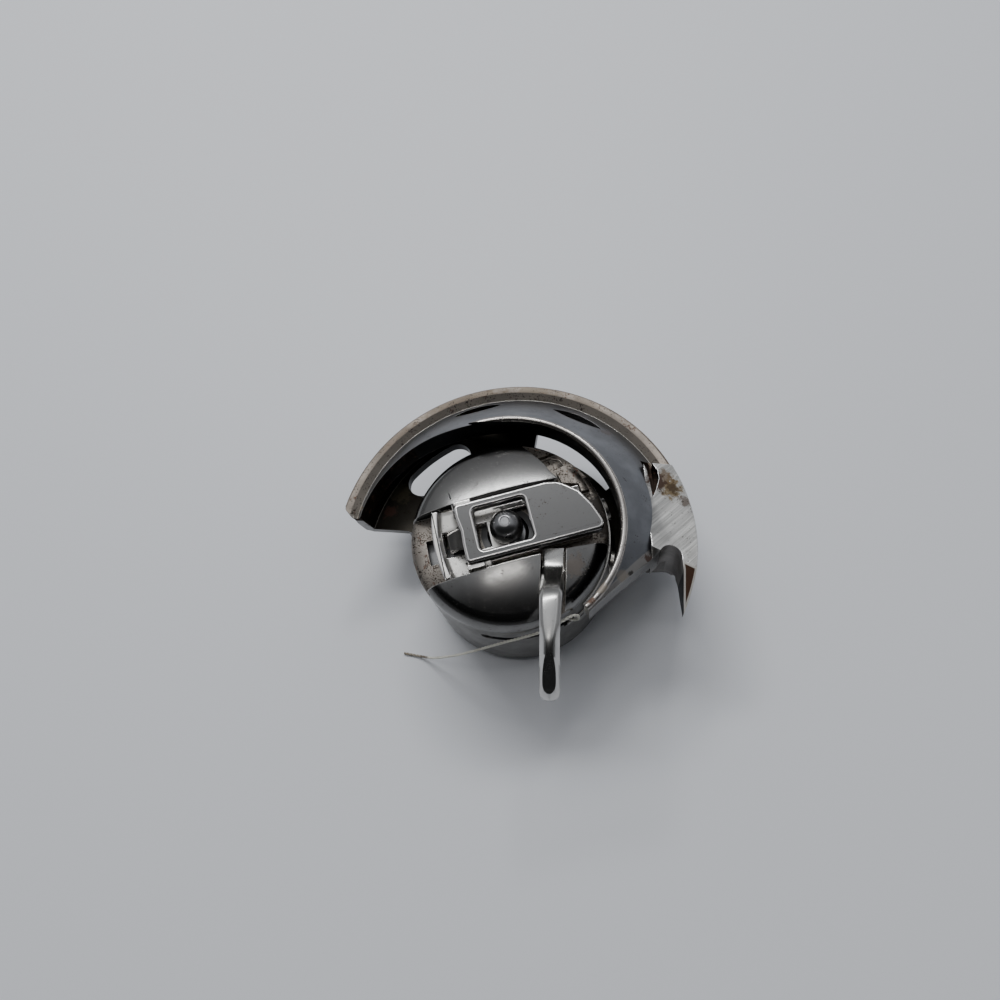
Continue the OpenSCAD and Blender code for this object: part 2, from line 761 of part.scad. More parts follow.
module latch_slide() {
    color("silver") latch_frame() difference() {
        union() {
            translate([0, 0, slide_z]) linear_extrude(slide_t) intersection() {
                union() {
                    rounded_strip(slide_left, slide_neck_u, slide_w, 0.5);
                    strip(slide_left, slide_right, slide_neck_w);
                }
                translate([slide_left + slide_bow_r, 0]) circle(slide_bow_r);
            }
            slide_ridge();
            for (s = [-1, 1]) translate([-pin_u - 1, s * (slide_w / 2 - ear_t / 2) - ear_t / 2, slide_z])
                cube([2, ear_t, ear_top - slide_z]);
        }
        translate([0, 0, slide_z - 1]) linear_extrude(far) {
            strip(heel_window, web_u, heel_w + 0.4);
            strip(0, 3.6, 2 * head_r + 0.8);
            strip(-hold_u + 0.35, 0.1, 2 * hold_u - 0.1);
            strip(peg_u - 0.25, coil_end, coil_slot_w);
        }
        translate([0, 0, slide_z - 1]) cylinder(h = slide_t + 2, r = hold_u);
        translate([-pin_u, 0, pin_z]) rotate([90, 0, 0])
            cylinder(h = far, r = pin_d / 2, center = true, $fn = 48);
    }
}

module lever_outline() {
    h = lever_w / 2;
    difference() {
        union() {
            polygon([[-pin_u - 0.55, -h], [lever_end - 0.8, -h], [lever_end - 0.05, 0.52 - h],
                [lever_end, 1.02 - h], [lever_end - 0.6, 3.02 - h], [lever_end - 1.5, h - 2.02],
                [lever_end - 2.8, h - 0.82], [lever_end - 3.8, h - 0.22], [lever_end - 4.9, h],
                [-pin_u - 0.65, h], [-pin_u - 0.95, h - 0.3], [-pin_u - 0.98, 1.9], [-pin_u - 0.75, 0.3],
                [-pin_u - 0.85, -1.4], [-pin_u - 0.82, 0.3 - h]]);
            translate([lever_end - 0.8, 0.8 - h]) circle(0.8, $fn = 48);
        }
        rounded_strip(window_left, window_right, window_w, 0.45);
    }
}

module latch_lever() {
    color("darkgray") latch_frame() difference() {
        union() {
            translate([0, 0, lever_under]) linear_extrude(lever_t) lever_outline();
            translate([-pin_u, 0, pin_z]) rotate([90, 0, 0])
                cylinder(h = lever_w, r = knuckle_r, center = true, $fn = 64);
            translate([-pin_u, 0, pin_z]) heel();
        }
        translate([-pin_u, 0, pin_z]) rotate([90, 0, 0])
            cylinder(h = far, r = pin_d / 2 + run_gap, center = true, $fn = 48);
    }
}

module heel() {
    tilt = atan2(heel_at[1], heel_at[0]);
    translate([heel_at[0], 0, heel_at[1]]) rotate([90, 0, 0])
        cylinder(h = heel_w, r = heel_r, center = true, $fn = 48);
    rotate([0, -tilt, 0]) translate([0.3, -heel_w / 2, -heel_r])
        cube([norm(heel_at) - 0.3, heel_w, 2 * heel_r]);
}

module latch_hinge_pin() {
    color("silver") latch_frame() translate([-pin_u, 0, pin_z]) rotate([90, 0, 0])
        cylinder(h = slide_w, r = pin_d / 2, center = true, $fn = 48);
}

module latch_spring() {
    r = (coil_d - coil_wire) / 2;
    start = peg_u + peg_t + coil_wire / 2;
    pitch = (coil_end - peg_u - peg_t - coil_wire) / coil_turns;
    steps = 12;
    path = [for (i = [0:coil_turns * steps])
        [start + pitch * i / steps, r * cos(360 * i / steps), r * sin(360 * i / steps)]];
    color("silver") latch_frame() translate([0, 0, floor_z + coil_d / 2 + 0.08])
        sweep(path, coil_wire / 2, 6);
}

/* Bobbin */

module flange(z) {
    hole_r = bobbin_d / 4 + 1.4;
    translate([0, 0, z]) difference() {
        cylinder(h = flange_t, r = bobbin_d / 2);
        translate([0, 0, -1]) cylinder(h = flange_t + 2, r = tube_d / 2 + run_gap);
        for (a = [0:60:300]) rotate([0, 0, a]) translate([hole_r, 0, -1])
            cylinder(h = flange_t + 2, r = flange_hole_d / 2, $fn = 48);
    }
}

module bobbin_front_flange() {
    color("lightgray") flange(bobbin_top - flange_t);
}

module bobbin_rear_flange() {
    color("lightgray") flange(bobbin_z);
}

module bobbin_core() {
    color("lightgray") translate([0, 0, bobbin_z + flange_t]) difference() {
        cylinder(h = bobbin_h - 2 * flange_t, r = core_d / 2);
        translate([0, 0, -1]) cylinder(h = bobbin_h + 2, r = tube_d / 2 + run_gap);
    }
}

module thread_winding() {
    color("ivory") translate([0, 0, bobbin_z + flange_t]) difference() {
        cylinder(h = bobbin_h - 2 * flange_t, r = winding_d / 2);
        translate([0, 0, -1]) cylinder(h = bobbin_h + 2, r = core_d / 2);
    }
}

module thread_tail() {
    color("ivory") sweep(smooth(tail_path, 4), thread_d / 2, 8);
}

hook_body();
hook_post();
case_shell();
case_tube();
position_finger();
finger_rivets();
tension_spring();
tension_screw();
spring_screw();
latch_slide();
latch_lever();
latch_hinge_pin();
latch_spring();
bobbin_front_flange();
bobbin_rear_flange();
bobbin_core();
thread_winding();
thread_tail();
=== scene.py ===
import math

import bmesh
import bpy
from mathutils import Matrix, Vector


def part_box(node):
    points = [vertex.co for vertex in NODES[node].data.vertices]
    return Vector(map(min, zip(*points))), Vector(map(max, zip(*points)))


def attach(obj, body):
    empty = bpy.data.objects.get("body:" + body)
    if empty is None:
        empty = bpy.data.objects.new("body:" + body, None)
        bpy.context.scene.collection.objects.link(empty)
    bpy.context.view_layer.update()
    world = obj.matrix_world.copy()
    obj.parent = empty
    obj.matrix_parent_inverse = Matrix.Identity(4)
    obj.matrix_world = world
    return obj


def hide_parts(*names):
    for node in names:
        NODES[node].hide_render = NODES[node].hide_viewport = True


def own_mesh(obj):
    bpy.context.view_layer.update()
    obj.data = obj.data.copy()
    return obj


bl_info = {
    "name": "Bobbin case in its hook",
    "version": (1, 0, 0),
    "blender": (4, 5, 0),
    "location": "View3D > Sidebar > Bobbin case",
    "description": "Finishes a bobbin case in its oscillating hook, with worn steel and a loose thread",
    "category": "Object",
}

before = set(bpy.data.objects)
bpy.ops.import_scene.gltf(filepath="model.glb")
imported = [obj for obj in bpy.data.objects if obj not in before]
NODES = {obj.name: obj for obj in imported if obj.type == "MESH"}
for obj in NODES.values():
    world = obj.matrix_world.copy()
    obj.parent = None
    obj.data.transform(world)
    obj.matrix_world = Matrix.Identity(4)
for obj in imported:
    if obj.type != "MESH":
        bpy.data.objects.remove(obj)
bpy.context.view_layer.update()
MM = 0.001
LATCH_TURN = math.radians(13.2)


# Shader building blocks


def add_node(tree, kind, inputs=None, **settings):
    """Adds a node, sets its properties and fills its inputs with values or links."""
    made = tree.nodes.new(kind)
    for name, value in settings.items():
        setattr(made, name, value)
    for name, value in (inputs or {}).items():
        if isinstance(value, bpy.types.NodeSocket):
            tree.links.new(value, made.inputs[name])
        else:
            made.inputs[name].default_value = value
    return made


def calculate(tree, operation, first, second):
    """Result of one math node."""
    return add_node(tree, "ShaderNodeMath", {0: first, 1: second}, operation=operation).outputs[0]


def plus(tree, first, second):
    return calculate(tree, "ADD", first, second)


def minus(tree, first, second):
    return calculate(tree, "SUBTRACT", first, second)


def times(tree, first, second):
    return calculate(tree, "MULTIPLY", first, second)


def vector_node(tree, operation, first, second):
    """Outputs of one vector math node."""
    return add_node(tree, "ShaderNodeVectorMath", {0: first, 1: second}, operation=operation).outputs


def ramp(tree, value, low, high, to_low=0.0, to_high=1.0):
    """Smooth step of a value from one range to another."""
    return add_node(
        tree,
        "ShaderNodeMapRange",
        {"Value": value, "From Min": low, "From Max": high, "To Min": to_low, "To Max": to_high},
        interpolation_type="SMOOTHSTEP",
    ).outputs["Result"]


def mix_value(tree, factor, first, second):
    """Goes from the first value to the second by a factor."""
    return add_node(tree, "ShaderNodeMix", {0: factor, 2: first, 3: second}, data_type="FLOAT").outputs[0]


def mix_colour(tree, factor, first, second):
    """Goes from the first colour to the second by a factor."""
    return add_node(tree, "ShaderNodeMix", {0: factor, 6: first, 7: second}, data_type="RGBA").outputs[2]


def vector(tree, **parts):
    """A vector from its named parts."""
    return add_node(tree, "ShaderNodeCombineXYZ", parts).outputs[0]


def object_place(tree):
    """Place of the shaded point on its object."""
    return add_node(tree, "ShaderNodeTexCoord").outputs["Object"]


def bump_normal(tree, height, strength, distance):
    """A normal bent by a height."""
    sizes = {"Strength": strength, "Distance": distance, "Height": height}
    return add_node(tree, "ShaderNodeBump", sizes).outputs[0]


def noise(tree, place, scale, detail, roughness=0.5):
    """Noise from 0 to 1 at a place."""
    sizes = {"Vector": place, "Scale": scale, "Detail": detail, "Roughness": roughness}
    return add_node(tree, "ShaderNodeTexNoise", sizes).outputs["Fac"]


# Shader node groups: each takes its tree and its inputs, and gives what goes to its outputs


def rust_bloom(tree, given):
    """Rust blooms: brown patches that break up into specks at their edges."""
    place = object_place(tree)
    fine_scale = times(tree, given["Scale"], 4.5)
    broad = noise(tree, place, given["Scale"], 6.0, 0.65)
    fine = noise(tree, place, fine_scale, 4.0, 0.7)
    both = plus(tree, times(tree, broad, 0.72), times(tree, fine, 0.28))
    edge = minus(tree, 0.72, times(tree, given["Cover"], 0.42))
    tone = ramp(tree, noise(tree, place, fine_scale, 3.0, 0.6), 0.35, 0.65)
    return {
        "Mask": ramp(tree, minus(tree, both, edge), 0.0, 0.06),
        "Colour": mix_colour(tree, tone, (0.03, 0.012, 0.007, 1), (0.13, 0.052, 0.022, 1)),
    }


def straight_scratches_and_sheen(tree, given):
    """Straight lines along one direction of the surface: fine scratches, and broad pale bands that are partly
    a painted sheen.
    """
    turn = {"Vector": object_place(tree), "Rotation": vector(tree, Z=given["Turn"])}
    turned = add_node(tree, "ShaderNodeMapping", turn).outputs[0]
    across = calculate(tree, "DIVIDE", given["Fineness"], given["Length"])
    upward = times(tree, given["Fineness"], given["Rise"])
    spread = vector_node(tree, "MULTIPLY", turned, vector(tree, X=across, Y=given["Fineness"], Z=upward))[0]
    return {"Lines": ramp(tree, noise(tree, spread, 1.0, 5.0, 0.75), 0.3, 0.7)}


def handling_smudges(tree, given):
    """Broad soft patches where handling and oil have changed the polish, and a fine grain."""
    moved = vector_node(tree, "ADD", object_place(tree), vector(tree, X=given["Seed"], Y=given["Seed"]))[0]
    return {
        "Amount": ramp(tree, noise(tree, moved, given["Scale"], 5.0, 0.6), 0.3, 0.7),
        "Grain": noise(tree, moved, 6500.0, 2.0),
    }


def dirt_specks(tree, given):
    """Fine dark specks of dirt and pitting."""
    place = object_place(tree)
    fine = times(tree, noise(tree, place, 5200.0, 3.0, 0.6), 0.65)
    broad = times(tree, noise(tree, place, 700.0, 3.0, 0.6), 0.35)
    level = minus(tree, 0.64, times(tree, given["Cover"], 0.2))
    return {"Mask": ramp(tree, minus(tree, plus(tree, fine, broad), level), 0.0, 0.035)}


# The hook's blunt end runs along END_ALONG; END_REACH is its distance from the axis, in metres
END_ACROSS = (0.6706, -0.7414, 0.0)
END_ALONG = (0.7414, 0.6706, 0.0)
END_REACH = 0.013


def ground_strip(tree, given):
    """Ground strip along the blunt end of the hook, which widens towards the beak."""
    place = object_place(tree)
    across = vector_node(tree, "DOT_PRODUCT", place, END_ACROSS)["Value"]
    along = vector_node(tree, "DOT_PRODUCT", place, END_ALONG)["Value"]
    inside = minus(tree, END_REACH, across)
    wide = times(tree, given["Width"], ramp(tree, along, -0.001, 0.0112, 0.35, 1.15))
    return {"Mask": ramp(tree, minus(tree, wide, inside), -0.00004, 0.00006)}


def round_stain_and_shade(tree, given):
    """One ragged round patch about a point, used for stain patches and for painted shade."""
    place = object_place(tree)
    apart = vector_node(tree, "DISTANCE", place, given["Centre"])["Value"]
    share = calculate(tree, "DIVIDE", apart, given["Radius"])
    shake = times(tree, minus(tree, noise(tree, place, 1500.0, 5.0, 0.7), 0.5), given["Raggedness"])
    return {"Mask": ramp(tree, plus(tree, share, shake), 1.15, 0.55)}


def worn_edges_and_highlight(tree, given):
    """Edges rounded and polished by wear: a rounded normal, and a mask that is 1 along the edges, where the
    steel is lightened as worn bare metal and as a painted highlight.
    """
    rounded = add_node(tree, "ShaderNodeBevel", {"Radius": given["Width"]}, samples=6).outputs[0]
    plain = add_node(tree, "ShaderNodeNewGeometry").outputs["Normal"]
    match = vector_node(tree, "DOT_PRODUCT", rounded, plain)["Value"]
    return {"Mask": ramp(tree, match, 0.995, 0.93), "Normal": rounded}


# What builds each group, its inputs with their defaults, and its outputs
GROUP_PLANS = (
    (rust_bloom, {"Scale": 900.0, "Cover": 0.3}, {"Mask": "Float", "Colour": "Color"}),
    (straight_scratches_and_sheen, {"Turn": 0.0, "Fineness": 2600.0, "Length": 40.0, "Rise": 1.0}, {"Lines": "Float"}),
    (handling_smudges, {"Scale": 260.0, "Seed": 0.0}, {"Amount": "Float", "Grain": "Float"}),
    (round_stain_and_shade, {"Centre": (0, 0, 0), "Radius": 0.001, "Raggedness": 0.5}, {"Mask": "Float"}),
    (dirt_specks, {"Cover": 0.2}, {"Mask": "Float"}),
    (ground_strip, {"Width": 0.0008}, {"Mask": "Float"}),
    (worn_edges_and_highlight, {"Width": 0.0002}, {"Mask": "Float", "Normal": "Vector"}),
)
GROUPS = {}


def build_groups():
    """Builds every shader node group with its named sockets, under its function's name."""
    for build, inputs, outputs in GROUP_PLANS:
        tree = bpy.data.node_groups.new(build.__name__, "ShaderNodeTree")
        for label, default in inputs.items():
            kind = "NodeSocketVector" if isinstance(default, tuple) else "NodeSocketFloat"
            tree.interface.new_socket(label, in_out="INPUT", socket_type=kind).default_value = default
        for label, kind in outputs.items():
            tree.interface.new_socket(label, in_out="OUTPUT", socket_type="NodeSocket" + kind)
        given = tree.nodes.new("NodeGroupInput").outputs
        out = tree.nodes.new("NodeGroupOutput").inputs
        for label, result in build(tree, given).items():
            tree.links.new(result, out[label])
        GROUPS[build.__name__] = tree


def group_node(tree, name, inputs):
    """Places a shader node group and gives its outputs."""
    return add_node(tree, "ShaderNodeGroup", inputs, node_tree=GROUPS[name]).outputs


def new_material(name):
    """An empty material and its tree."""
    made = bpy.data.materials.new(name)
    made.use_nodes = True
    made.node_tree.nodes.clear()
    return made, made.node_tree


def finish_material(tree, **inputs):
    """Ends a material in one shader, whose inputs are named with _ for a space."""
    named = {name.replace("_", " "): value for name, value in inputs.items()}
    shader = add_node(tree, "ShaderNodeBsdfPrincipled", named)
    add_node(tree, "ShaderNodeOutputMaterial", {"Surface": shader.outputs[0]})


# Materials

BROWN = (0.12, 0.055, 0.028)
BLACK = (0.012, 0.009, 0.007)
BEIGE = (0.30, 0.255, 0.20)
DIRT = (0.035, 0.026, 0.02, 1)
GROUND_METAL = (0.36, 0.345, 0.325, 1)
STAIN_AND_SHADE_RAGGEDNESS = 2.8
RUSTY_ROUGHNESS = 0.7
WORN_ROUGHNESS = 0.2


def stain_and_shade_mask(tree, centre, radius, raggedness):
    """Mask of a ragged round patch, used for stain patches and for painted shade, with its centre and radius
    in millimetres.
    """
    sizes = {"Centre": [c * MM for c in centre], "Radius": radius * MM, "Raggedness": raggedness}
    return group_node(tree, "round_stain_and_shade", sizes)["Mask"]


def steel(
    name, colour, roughness, smudge=0.08, smudge_dark=0.25, rust=0.0, rust_scale=900.0, scratch=0.0,
    scratch_turn=0.0, scratch_length=40.0, scratch_rise=1.0, bands=0.0, grain=0.02, speckle=0.0, stains_and_shade=(),
    edge_width=0.0, edge_wear_and_highlight_tone=(0.8, 0.8, 0.8), edge_wear_and_highlight_strength=1.0, metal=1.0, ground_end=0.0, seed=0.0,
):
    """Worn steel: smudged polish, scratches, grain, rust, stain patches, painted shade patches, pale bands
    that are partly a painted sheen, and polished edges with a painted highlight, each as strong as asked.

    A stain patch and a painted shade patch are each a centre, radius, tone and strength. Lengths are in
    millimetres and the turn in degrees.
    """
    made, tree = new_material(name)
    run = {"Turn": math.radians(scratch_turn), "Rise": scratch_rise}

    # Smudged polish with a fine grain
    smudges = group_node(tree, "handling_smudges", {"Scale": 260.0, "Seed": seed})
    dark = [c * (1 - smudge_dark) for c in colour]
    base = mix_colour(tree, smudges["Amount"], (*colour, 1), (*dark, 1))
    rough = plus(tree, times(tree, smudges["Amount"], smudge), roughness)
    height = times(tree, smudges["Grain"], grain)

    # Broad pale bands, partly grinding marks and partly a painted sheen, then fine scratches
    if bands:
        broad = group_node(tree, "straight_scratches_and_sheen", {**run, "Fineness": 1300.0, "Length": 30.0})["Lines"]
        pale = [min(1, c * 1.9) for c in colour]
        base = mix_colour(tree, times(tree, broad, bands), base, (*pale, 1))
        rough = plus(tree, rough, times(tree, broad, 0.12))
    if scratch:
        fine = {**run, "Fineness": 3200.0, "Length": scratch_length}
        lines = group_node(tree, "straight_scratches_and_sheen", fine)["Lines"]
        height = plus(tree, height, times(tree, lines, scratch))
        rough = plus(tree, rough, times(tree, lines, scratch * 0.3))
        faded = [c * (1 - 0.5 * min(scratch, 1)) for c in colour]
        base = mix_colour(tree, times(tree, lines, min(scratch, 1) * 0.8), base, (*faded, 1))
    if ground_end:
        strip = group_node(tree, "ground_strip", {"Width": ground_end * MM})["Mask"]
        base = mix_colour(tree, times(tree, strip, 0.85), base, GROUND_METAL)
        height = minus(tree, height, strip)

    # Rust, stain patches and painted shade patches, which are rough, raised and hardly metallic
    masks = []
    if rust:
        bloom = group_node(tree, "rust_bloom", {"Scale": rust_scale, "Cover": rust})
        masks.append((bloom["Mask"], bloom["Colour"]))
    for centre, radius, tone, strength in stains_and_shade:
        spot = stain_and_shade_mask(tree, centre, radius, STAIN_AND_SHADE_RAGGEDNESS)
        masks.append((times(tree, spot, strength), (*tone, 1)))
    cover = None
    for mask, tone in masks:
        base = mix_colour(tree, mask, base, tone)
        cover = mask if cover is None else calculate(tree, "MAXIMUM", cover, mask)
    metallic = metal
    if cover is not None:
        rough = mix_value(tree, cover, rough, RUSTY_ROUGHNESS)
        metallic = times(tree, metal, minus(tree, 1.0, times(tree, cover, 0.85)))
        height = plus(tree, height, times(tree, cover, 0.3))

    # Specks and pits
    if speckle:
        specks = group_node(tree, "dirt_specks", {"Cover": speckle})["Mask"]
        base = mix_colour(tree, specks, base, DIRT)
        height = minus(tree, height, times(tree, specks, 0.6))
    normal = bump_normal(tree, height, 0.35, 0.00004)

    # Edges that handling has rounded and polished, lightened in colour as worn bare metal and as a painted
    # highlight
    if edge_width:
        edges = group_node(tree, "worn_edges_and_highlight", {"Width": edge_width * MM})
        edge_wear_and_highlight = times(tree, edges["Mask"], edge_wear_and_highlight_strength)
        base = mix_colour(tree, edge_wear_and_highlight, base, (*edge_wear_and_highlight_tone, 1))
        rough = mix_value(tree, edge_wear_and_highlight, rough, WORN_ROUGHNESS)
        metallic = times(tree, metallic, minus(tree, 1.0, times(tree, edge_wear_and_highlight, 0.4)))
        tree.links.new(edges["Normal"], normal.node.inputs["Normal"])
    finish_material(tree, Base_Color=base, Roughness=rough, Metallic=metallic, Normal=normal)
    return made


# Every finish, by the name that the pieces use
FINISH = {}


def build_hook_steels(look):
    """Finishes of the hook, from its inside, painted dark as painted shade, to the ground border of its beak.
    """
    FINISH["cone"] = steel(
        "cone_satin_steel", look.cone_colour, 0.32, smudge=0.1, scratch=0.05, grain=0.05, speckle=0.12,
        ground_end=0.8,
        stains_and_shade=(
            ((15.0, -3.7, 15.4), 0.55, (0.05, 0.02, 0.012), 0.9), ((13.0, -5.7, 16.6), 0.4, BLACK, 0.9),
            ((11.9, -6.2, 17.3), 0.8, BEIGE, 0.5), ((-4.0, 17.2, 13.4), 1.5, (0.1, 0.07, 0.045), 0.45),
            ((8.0, 15.0, 13.6), 1.7, (0.08, 0.05, 0.035), 0.5),
            ((11.4, 12.6, 13.6), 0.8, (0.1, 0.06, 0.04), 0.4),
        ),
        edge_width=0.1, edge_wear_and_highlight_tone=(0.5, 0.49, 0.47), edge_wear_and_highlight_strength=0.7, seed=0.3,
    )
    FINISH["lip"] = steel(
        "lip_polished_steel", (0.5, 0.47, 0.44), 0.24, smudge_dark=0.4, speckle=0.2,
        stains_and_shade=(((9.6, -7.6, 18.6), 0.9, BEIGE, 0.7), ((8.6, -8.9, 18.4), 0.55, BROWN, 0.9)), seed=0.35,
    )
    FINISH["rim"] = steel(
        "rim_worn_steel", (0.45, 0.39, 0.33), 0.5, smudge_dark=0.45, rust=0.4, rust_scale=620, scratch=0.25,
        grain=0.2, speckle=0.34,
        stains_and_shade=(
            ((-6.0, 19.0, 12.5), 5.5, (0.24, 0.18, 0.12), 0.55),
            ((-14.2, 13.9, 12.5), 3.4, (0.27, 0.2, 0.14), 0.5),
            ((3.4, 19.4, 12.5), 3.0, (0.26, 0.2, 0.13), 0.5),
            ((9.5, 17.4, 12.5), 2.2, (0.28, 0.22, 0.16), 0.45),
        ),
        edge_width=0.1, edge_wear_and_highlight_tone=(0.62, 0.58, 0.52), edge_wear_and_highlight_strength=0.5, metal=0.4, seed=0.5,
    )
    FINISH["rim_corner"] = steel(
        "rim_corner_worn_steel", (0.27, 0.22, 0.175), 0.55, smudge_dark=0.5, rust=0.38, scratch=0.2,
        grain=0.2, speckle=0.4, edge_width=0.08, edge_wear_and_highlight_tone=(0.5, 0.45, 0.38), edge_wear_and_highlight_strength=0.4, metal=0.25,
        seed=0.52,
    )
    FINISH["groove"] = steel(
        "groove_worn_steel", (0.24, 0.212, 0.18), 0.45, rust=0.3, rust_scale=700, speckle=0.4, grain=0.2,
        edge_width=0.12, edge_wear_and_highlight_tone=(0.62, 0.59, 0.53), metal=0.4, seed=0.55,
    )
    # The land's broad pale bands are partly grinding marks and partly a painted sheen.
    FINISH["land"] = steel(
        "land_ground_steel", (0.45, 0.445, 0.43), 0.3, smudge=0.05, scratch=0.8, bands=1.0,
        scratch_turn=-43, scratch_length=60, scratch_rise=0.02, grain=0.05, speckle=0.14,
        stains_and_shade=(
            ((18.2, 5.3, 13.4), 1.5, (0.17, 0.115, 0.04), 0.9),
            ((17.6, 6.4, 13.4), 1.2, (0.13, 0.08, 0.035), 0.8),
            ((16.7, 5.9, 13.7), 1.4, (0.045, 0.02, 0.011), 0.95),
            ((18.5, 5.2, 13.3), 0.8, (0.06, 0.035, 0.014), 0.9),
            ((19.6, 3.6, 13.3), 0.8, (0.09, 0.06, 0.04), 0.8),
        ),
        edge_width=0.18, edge_wear_and_highlight_tone=(0.88, 0.87, 0.85),
    )
    # The pocket beside the land: near-black, partly rust and partly painted shade in the recess.
    FINISH["pocket"] = steel(
        "pocket_rust_and_shade_steel", (0.022, 0.016, 0.013), 0.5, rust=0.42, rust_scale=1400, speckle=0.3, seed=0.6,
    )
    FINISH["beak"] = steel(
        "beak_face_steel", (0.115, 0.058, 0.036), 0.42, smudge_dark=0.3, rust=0.3, rust_scale=800,
        stains_and_shade=(
            ((18.2, -8.7, 12.8), 0.7, (0.4, 0.36, 0.3), 0.7),
            ((19.6, -7.3, 13.4), 0.6, (0.4, 0.36, 0.31), 0.7),
        ),
        edge_width=0.05, edge_wear_and_highlight_tone=(0.6, 0.5, 0.4), metal=0.5,
    )
    # The ground border round the beak's face: bare ground metal, pale and barely metallic so that it reads
    # bright from any side, a painted highlight.
    FINISH["beak_border"] = steel(
        "beak_border_steel", (0.72, 0.69, 0.64), 0.3, smudge_dark=0.2, scratch=0.3,
        scratch_turn=72, scratch_rise=0.02, speckle=0.1, edge_width=0.1,
        edge_wear_and_highlight_tone=(0.88, 0.86, 0.82), metal=0.25,
    )
    FINISH["notch"] = steel(
        "notch_ground_steel", (0.46, 0.44, 0.42), 0.38, scratch=0.5, scratch_turn=90,
        smudge_dark=0.5, edge_width=0.14, edge_wear_and_highlight_tone=(0.75, 0.74, 0.72), metal=0.8, seed=0.65,
    )
    # The hook's hollow inside: near-black as painted shade, with painted highlights along its edges.
    FINISH["inner"] = steel(
        "hook_inner_steel", (0.022, 0.023, 0.025), 0.36, edge_width=0.1, edge_wear_and_highlight_tone=(0.5, 0.49, 0.46),
        edge_wear_and_highlight_strength=0.6, seed=0.9,
    )
    # The web's top: dark partly from oily rust and partly as painted shade.
    FINISH["web"] = steel(
        "hook_web_steel", (0.045, 0.041, 0.034), 0.42, rust=0.2, rust_scale=420, speckle=0.3,
        stains_and_shade=(
            ((-15.8, 6.6, 6.9), 0.9, (0.09, 0.03, 0.018), 0.7),
            ((-14.6, 9.4, 6.9), 1.7, (0.075, 0.062, 0.03), 0.7),
        ),
        edge_width=0.12, edge_wear_and_highlight_tone=(0.25, 0.23, 0.2), seed=1.2,
    )
    FINISH["back"] = steel(
        "hook_back_steel", (0.3, 0.295, 0.29), 0.36, scratch=0.3, rust=0.12, speckle=0.2,
        edge_width=0.12, edge_wear_and_highlight_tone=(0.5, 0.48, 0.45), edge_wear_and_highlight_strength=0.6, seed=1.4,
    )
    FINISH["post"] = steel(
        "post_dark_steel", (0.35, 0.35, 0.355), 0.24, smudge=0.12, smudge_dark=0.5, speckle=0.2, seed=0.4,
    )


def build_case_steels(look):
    """Finishes of the case, its latch and its fittings."""
    # The rounded edges of the lever, slide, tension spring and screws: polished, with a light colour that is
    # a painted highlight.
    FINISH["edge"] = steel("polished_edge_highlight_steel", (0.72, 0.7, 0.68), 0.2)
    FINISH["dome"] = steel(
        "cheek_polished_steel", look.case_colour, 0.15, smudge=0.06, smudge_dark=0.3, grain=0.03,
        speckle=0.14, stains_and_shade=(((7.2, -4.6, 16.5), 1.3, (0.16, 0.12, 0.09), 0.4),),
        edge_width=0.16, edge_wear_and_highlight_tone=(0.62, 0.6, 0.57), edge_wear_and_highlight_strength=0.8, seed=0.2,
    )
    FINISH["floor"] = steel(
        "channel_rough_steel", (0.25, 0.226, 0.2), 0.44, rust=0.36, rust_scale=1500, grain=0.7, speckle=0.55,
        # Two near-black patches at the channel's far end.
        stains_and_shade=(((10.4, 3.0, 14.8), 1.7, BLACK, 0.95), ((10.5, 0.6, 14.8), 1.5, BLACK, 0.9)),
        edge_width=0.14, edge_wear_and_highlight_tone=(0.62, 0.58, 0.52), edge_wear_and_highlight_strength=0.9, seed=0.7,
    )
    FINISH["case_wall"] = steel(
        "case_wall_steel", (0.24, 0.235, 0.225), 0.34, smudge_dark=0.35, scratch=0.1, speckle=0.16, seed=0.75,
    )
    FINISH["case_inner"] = steel("case_inner_steel", (0.1, 0.1, 0.1), 0.4, seed=0.8)
    FINISH["lever"] = steel(
        "lever_satin_steel", look.lever_colour, 0.3, smudge=0.05, smudge_dark=0.12, grain=0.2, speckle=0.16,
        seed=0.1,
    )
    FINISH["slide"] = steel(
        "slide_bright_steel", (0.72, 0.7, 0.66), 0.26, speckle=0.26, rust=0.1, rust_scale=1300,
        # The near-black patches are painted shade: three round the post under the edge of the lever's window,
        # one at the slide's right end.
        stains_and_shade=(
            ((-1.0, 3.1, 16.0), 1.1, BLACK, 0.9), ((0.4, 2.9, 16.0), 1.25, BLACK, 0.95),
            ((1.8, 2.6, 16.0), 1.2, BLACK, 0.95), ((8.0, 5.0, 16.0), 1.8, BLACK, 0.9),
        ),
        metal=0.8, seed=0.6,
    )
    FINISH["finger"] = steel(
        "finger_polished_steel", (0.46, 0.455, 0.44), 0.22, smudge_dark=0.2, speckle=0.14, seed=0.45,
    )
    # The finger's bevels, sides and underside: polished, and lighter than its flat top as a painted
    # highlight.
    FINISH["finger_edge"] = steel("finger_edge_steel", (0.6, 0.59, 0.57), 0.18, smudge_dark=0.15, seed=0.47)
    FINISH["spring"] = steel("spring_leaf_steel", (0.36, 0.35, 0.33), 0.28, scratch=0.3, speckle=0.2)
    FINISH["screw"] = steel("screw_bright_steel", (0.42, 0.4, 0.37), 0.3, rust=0.25, speckle=0.2)
    FINISH["bobbin"] = steel("bobbin_plated_steel", (0.2, 0.2, 0.2), 0.3, scratch=0.2)


# Brown ends of the thread: centre and radius in millimetres, and tone
THREAD_STAINS = (
    ((-14.0, -10.0, 0.3), 2.6, (0.2, 0.15, 0.1, 1)), ((-12.0, -10.4, 0.6), 0.7, (0.12, 0.085, 0.055, 1)),
)
THREAD_SOIL = (0.4, 0.36, 0.26, 1)


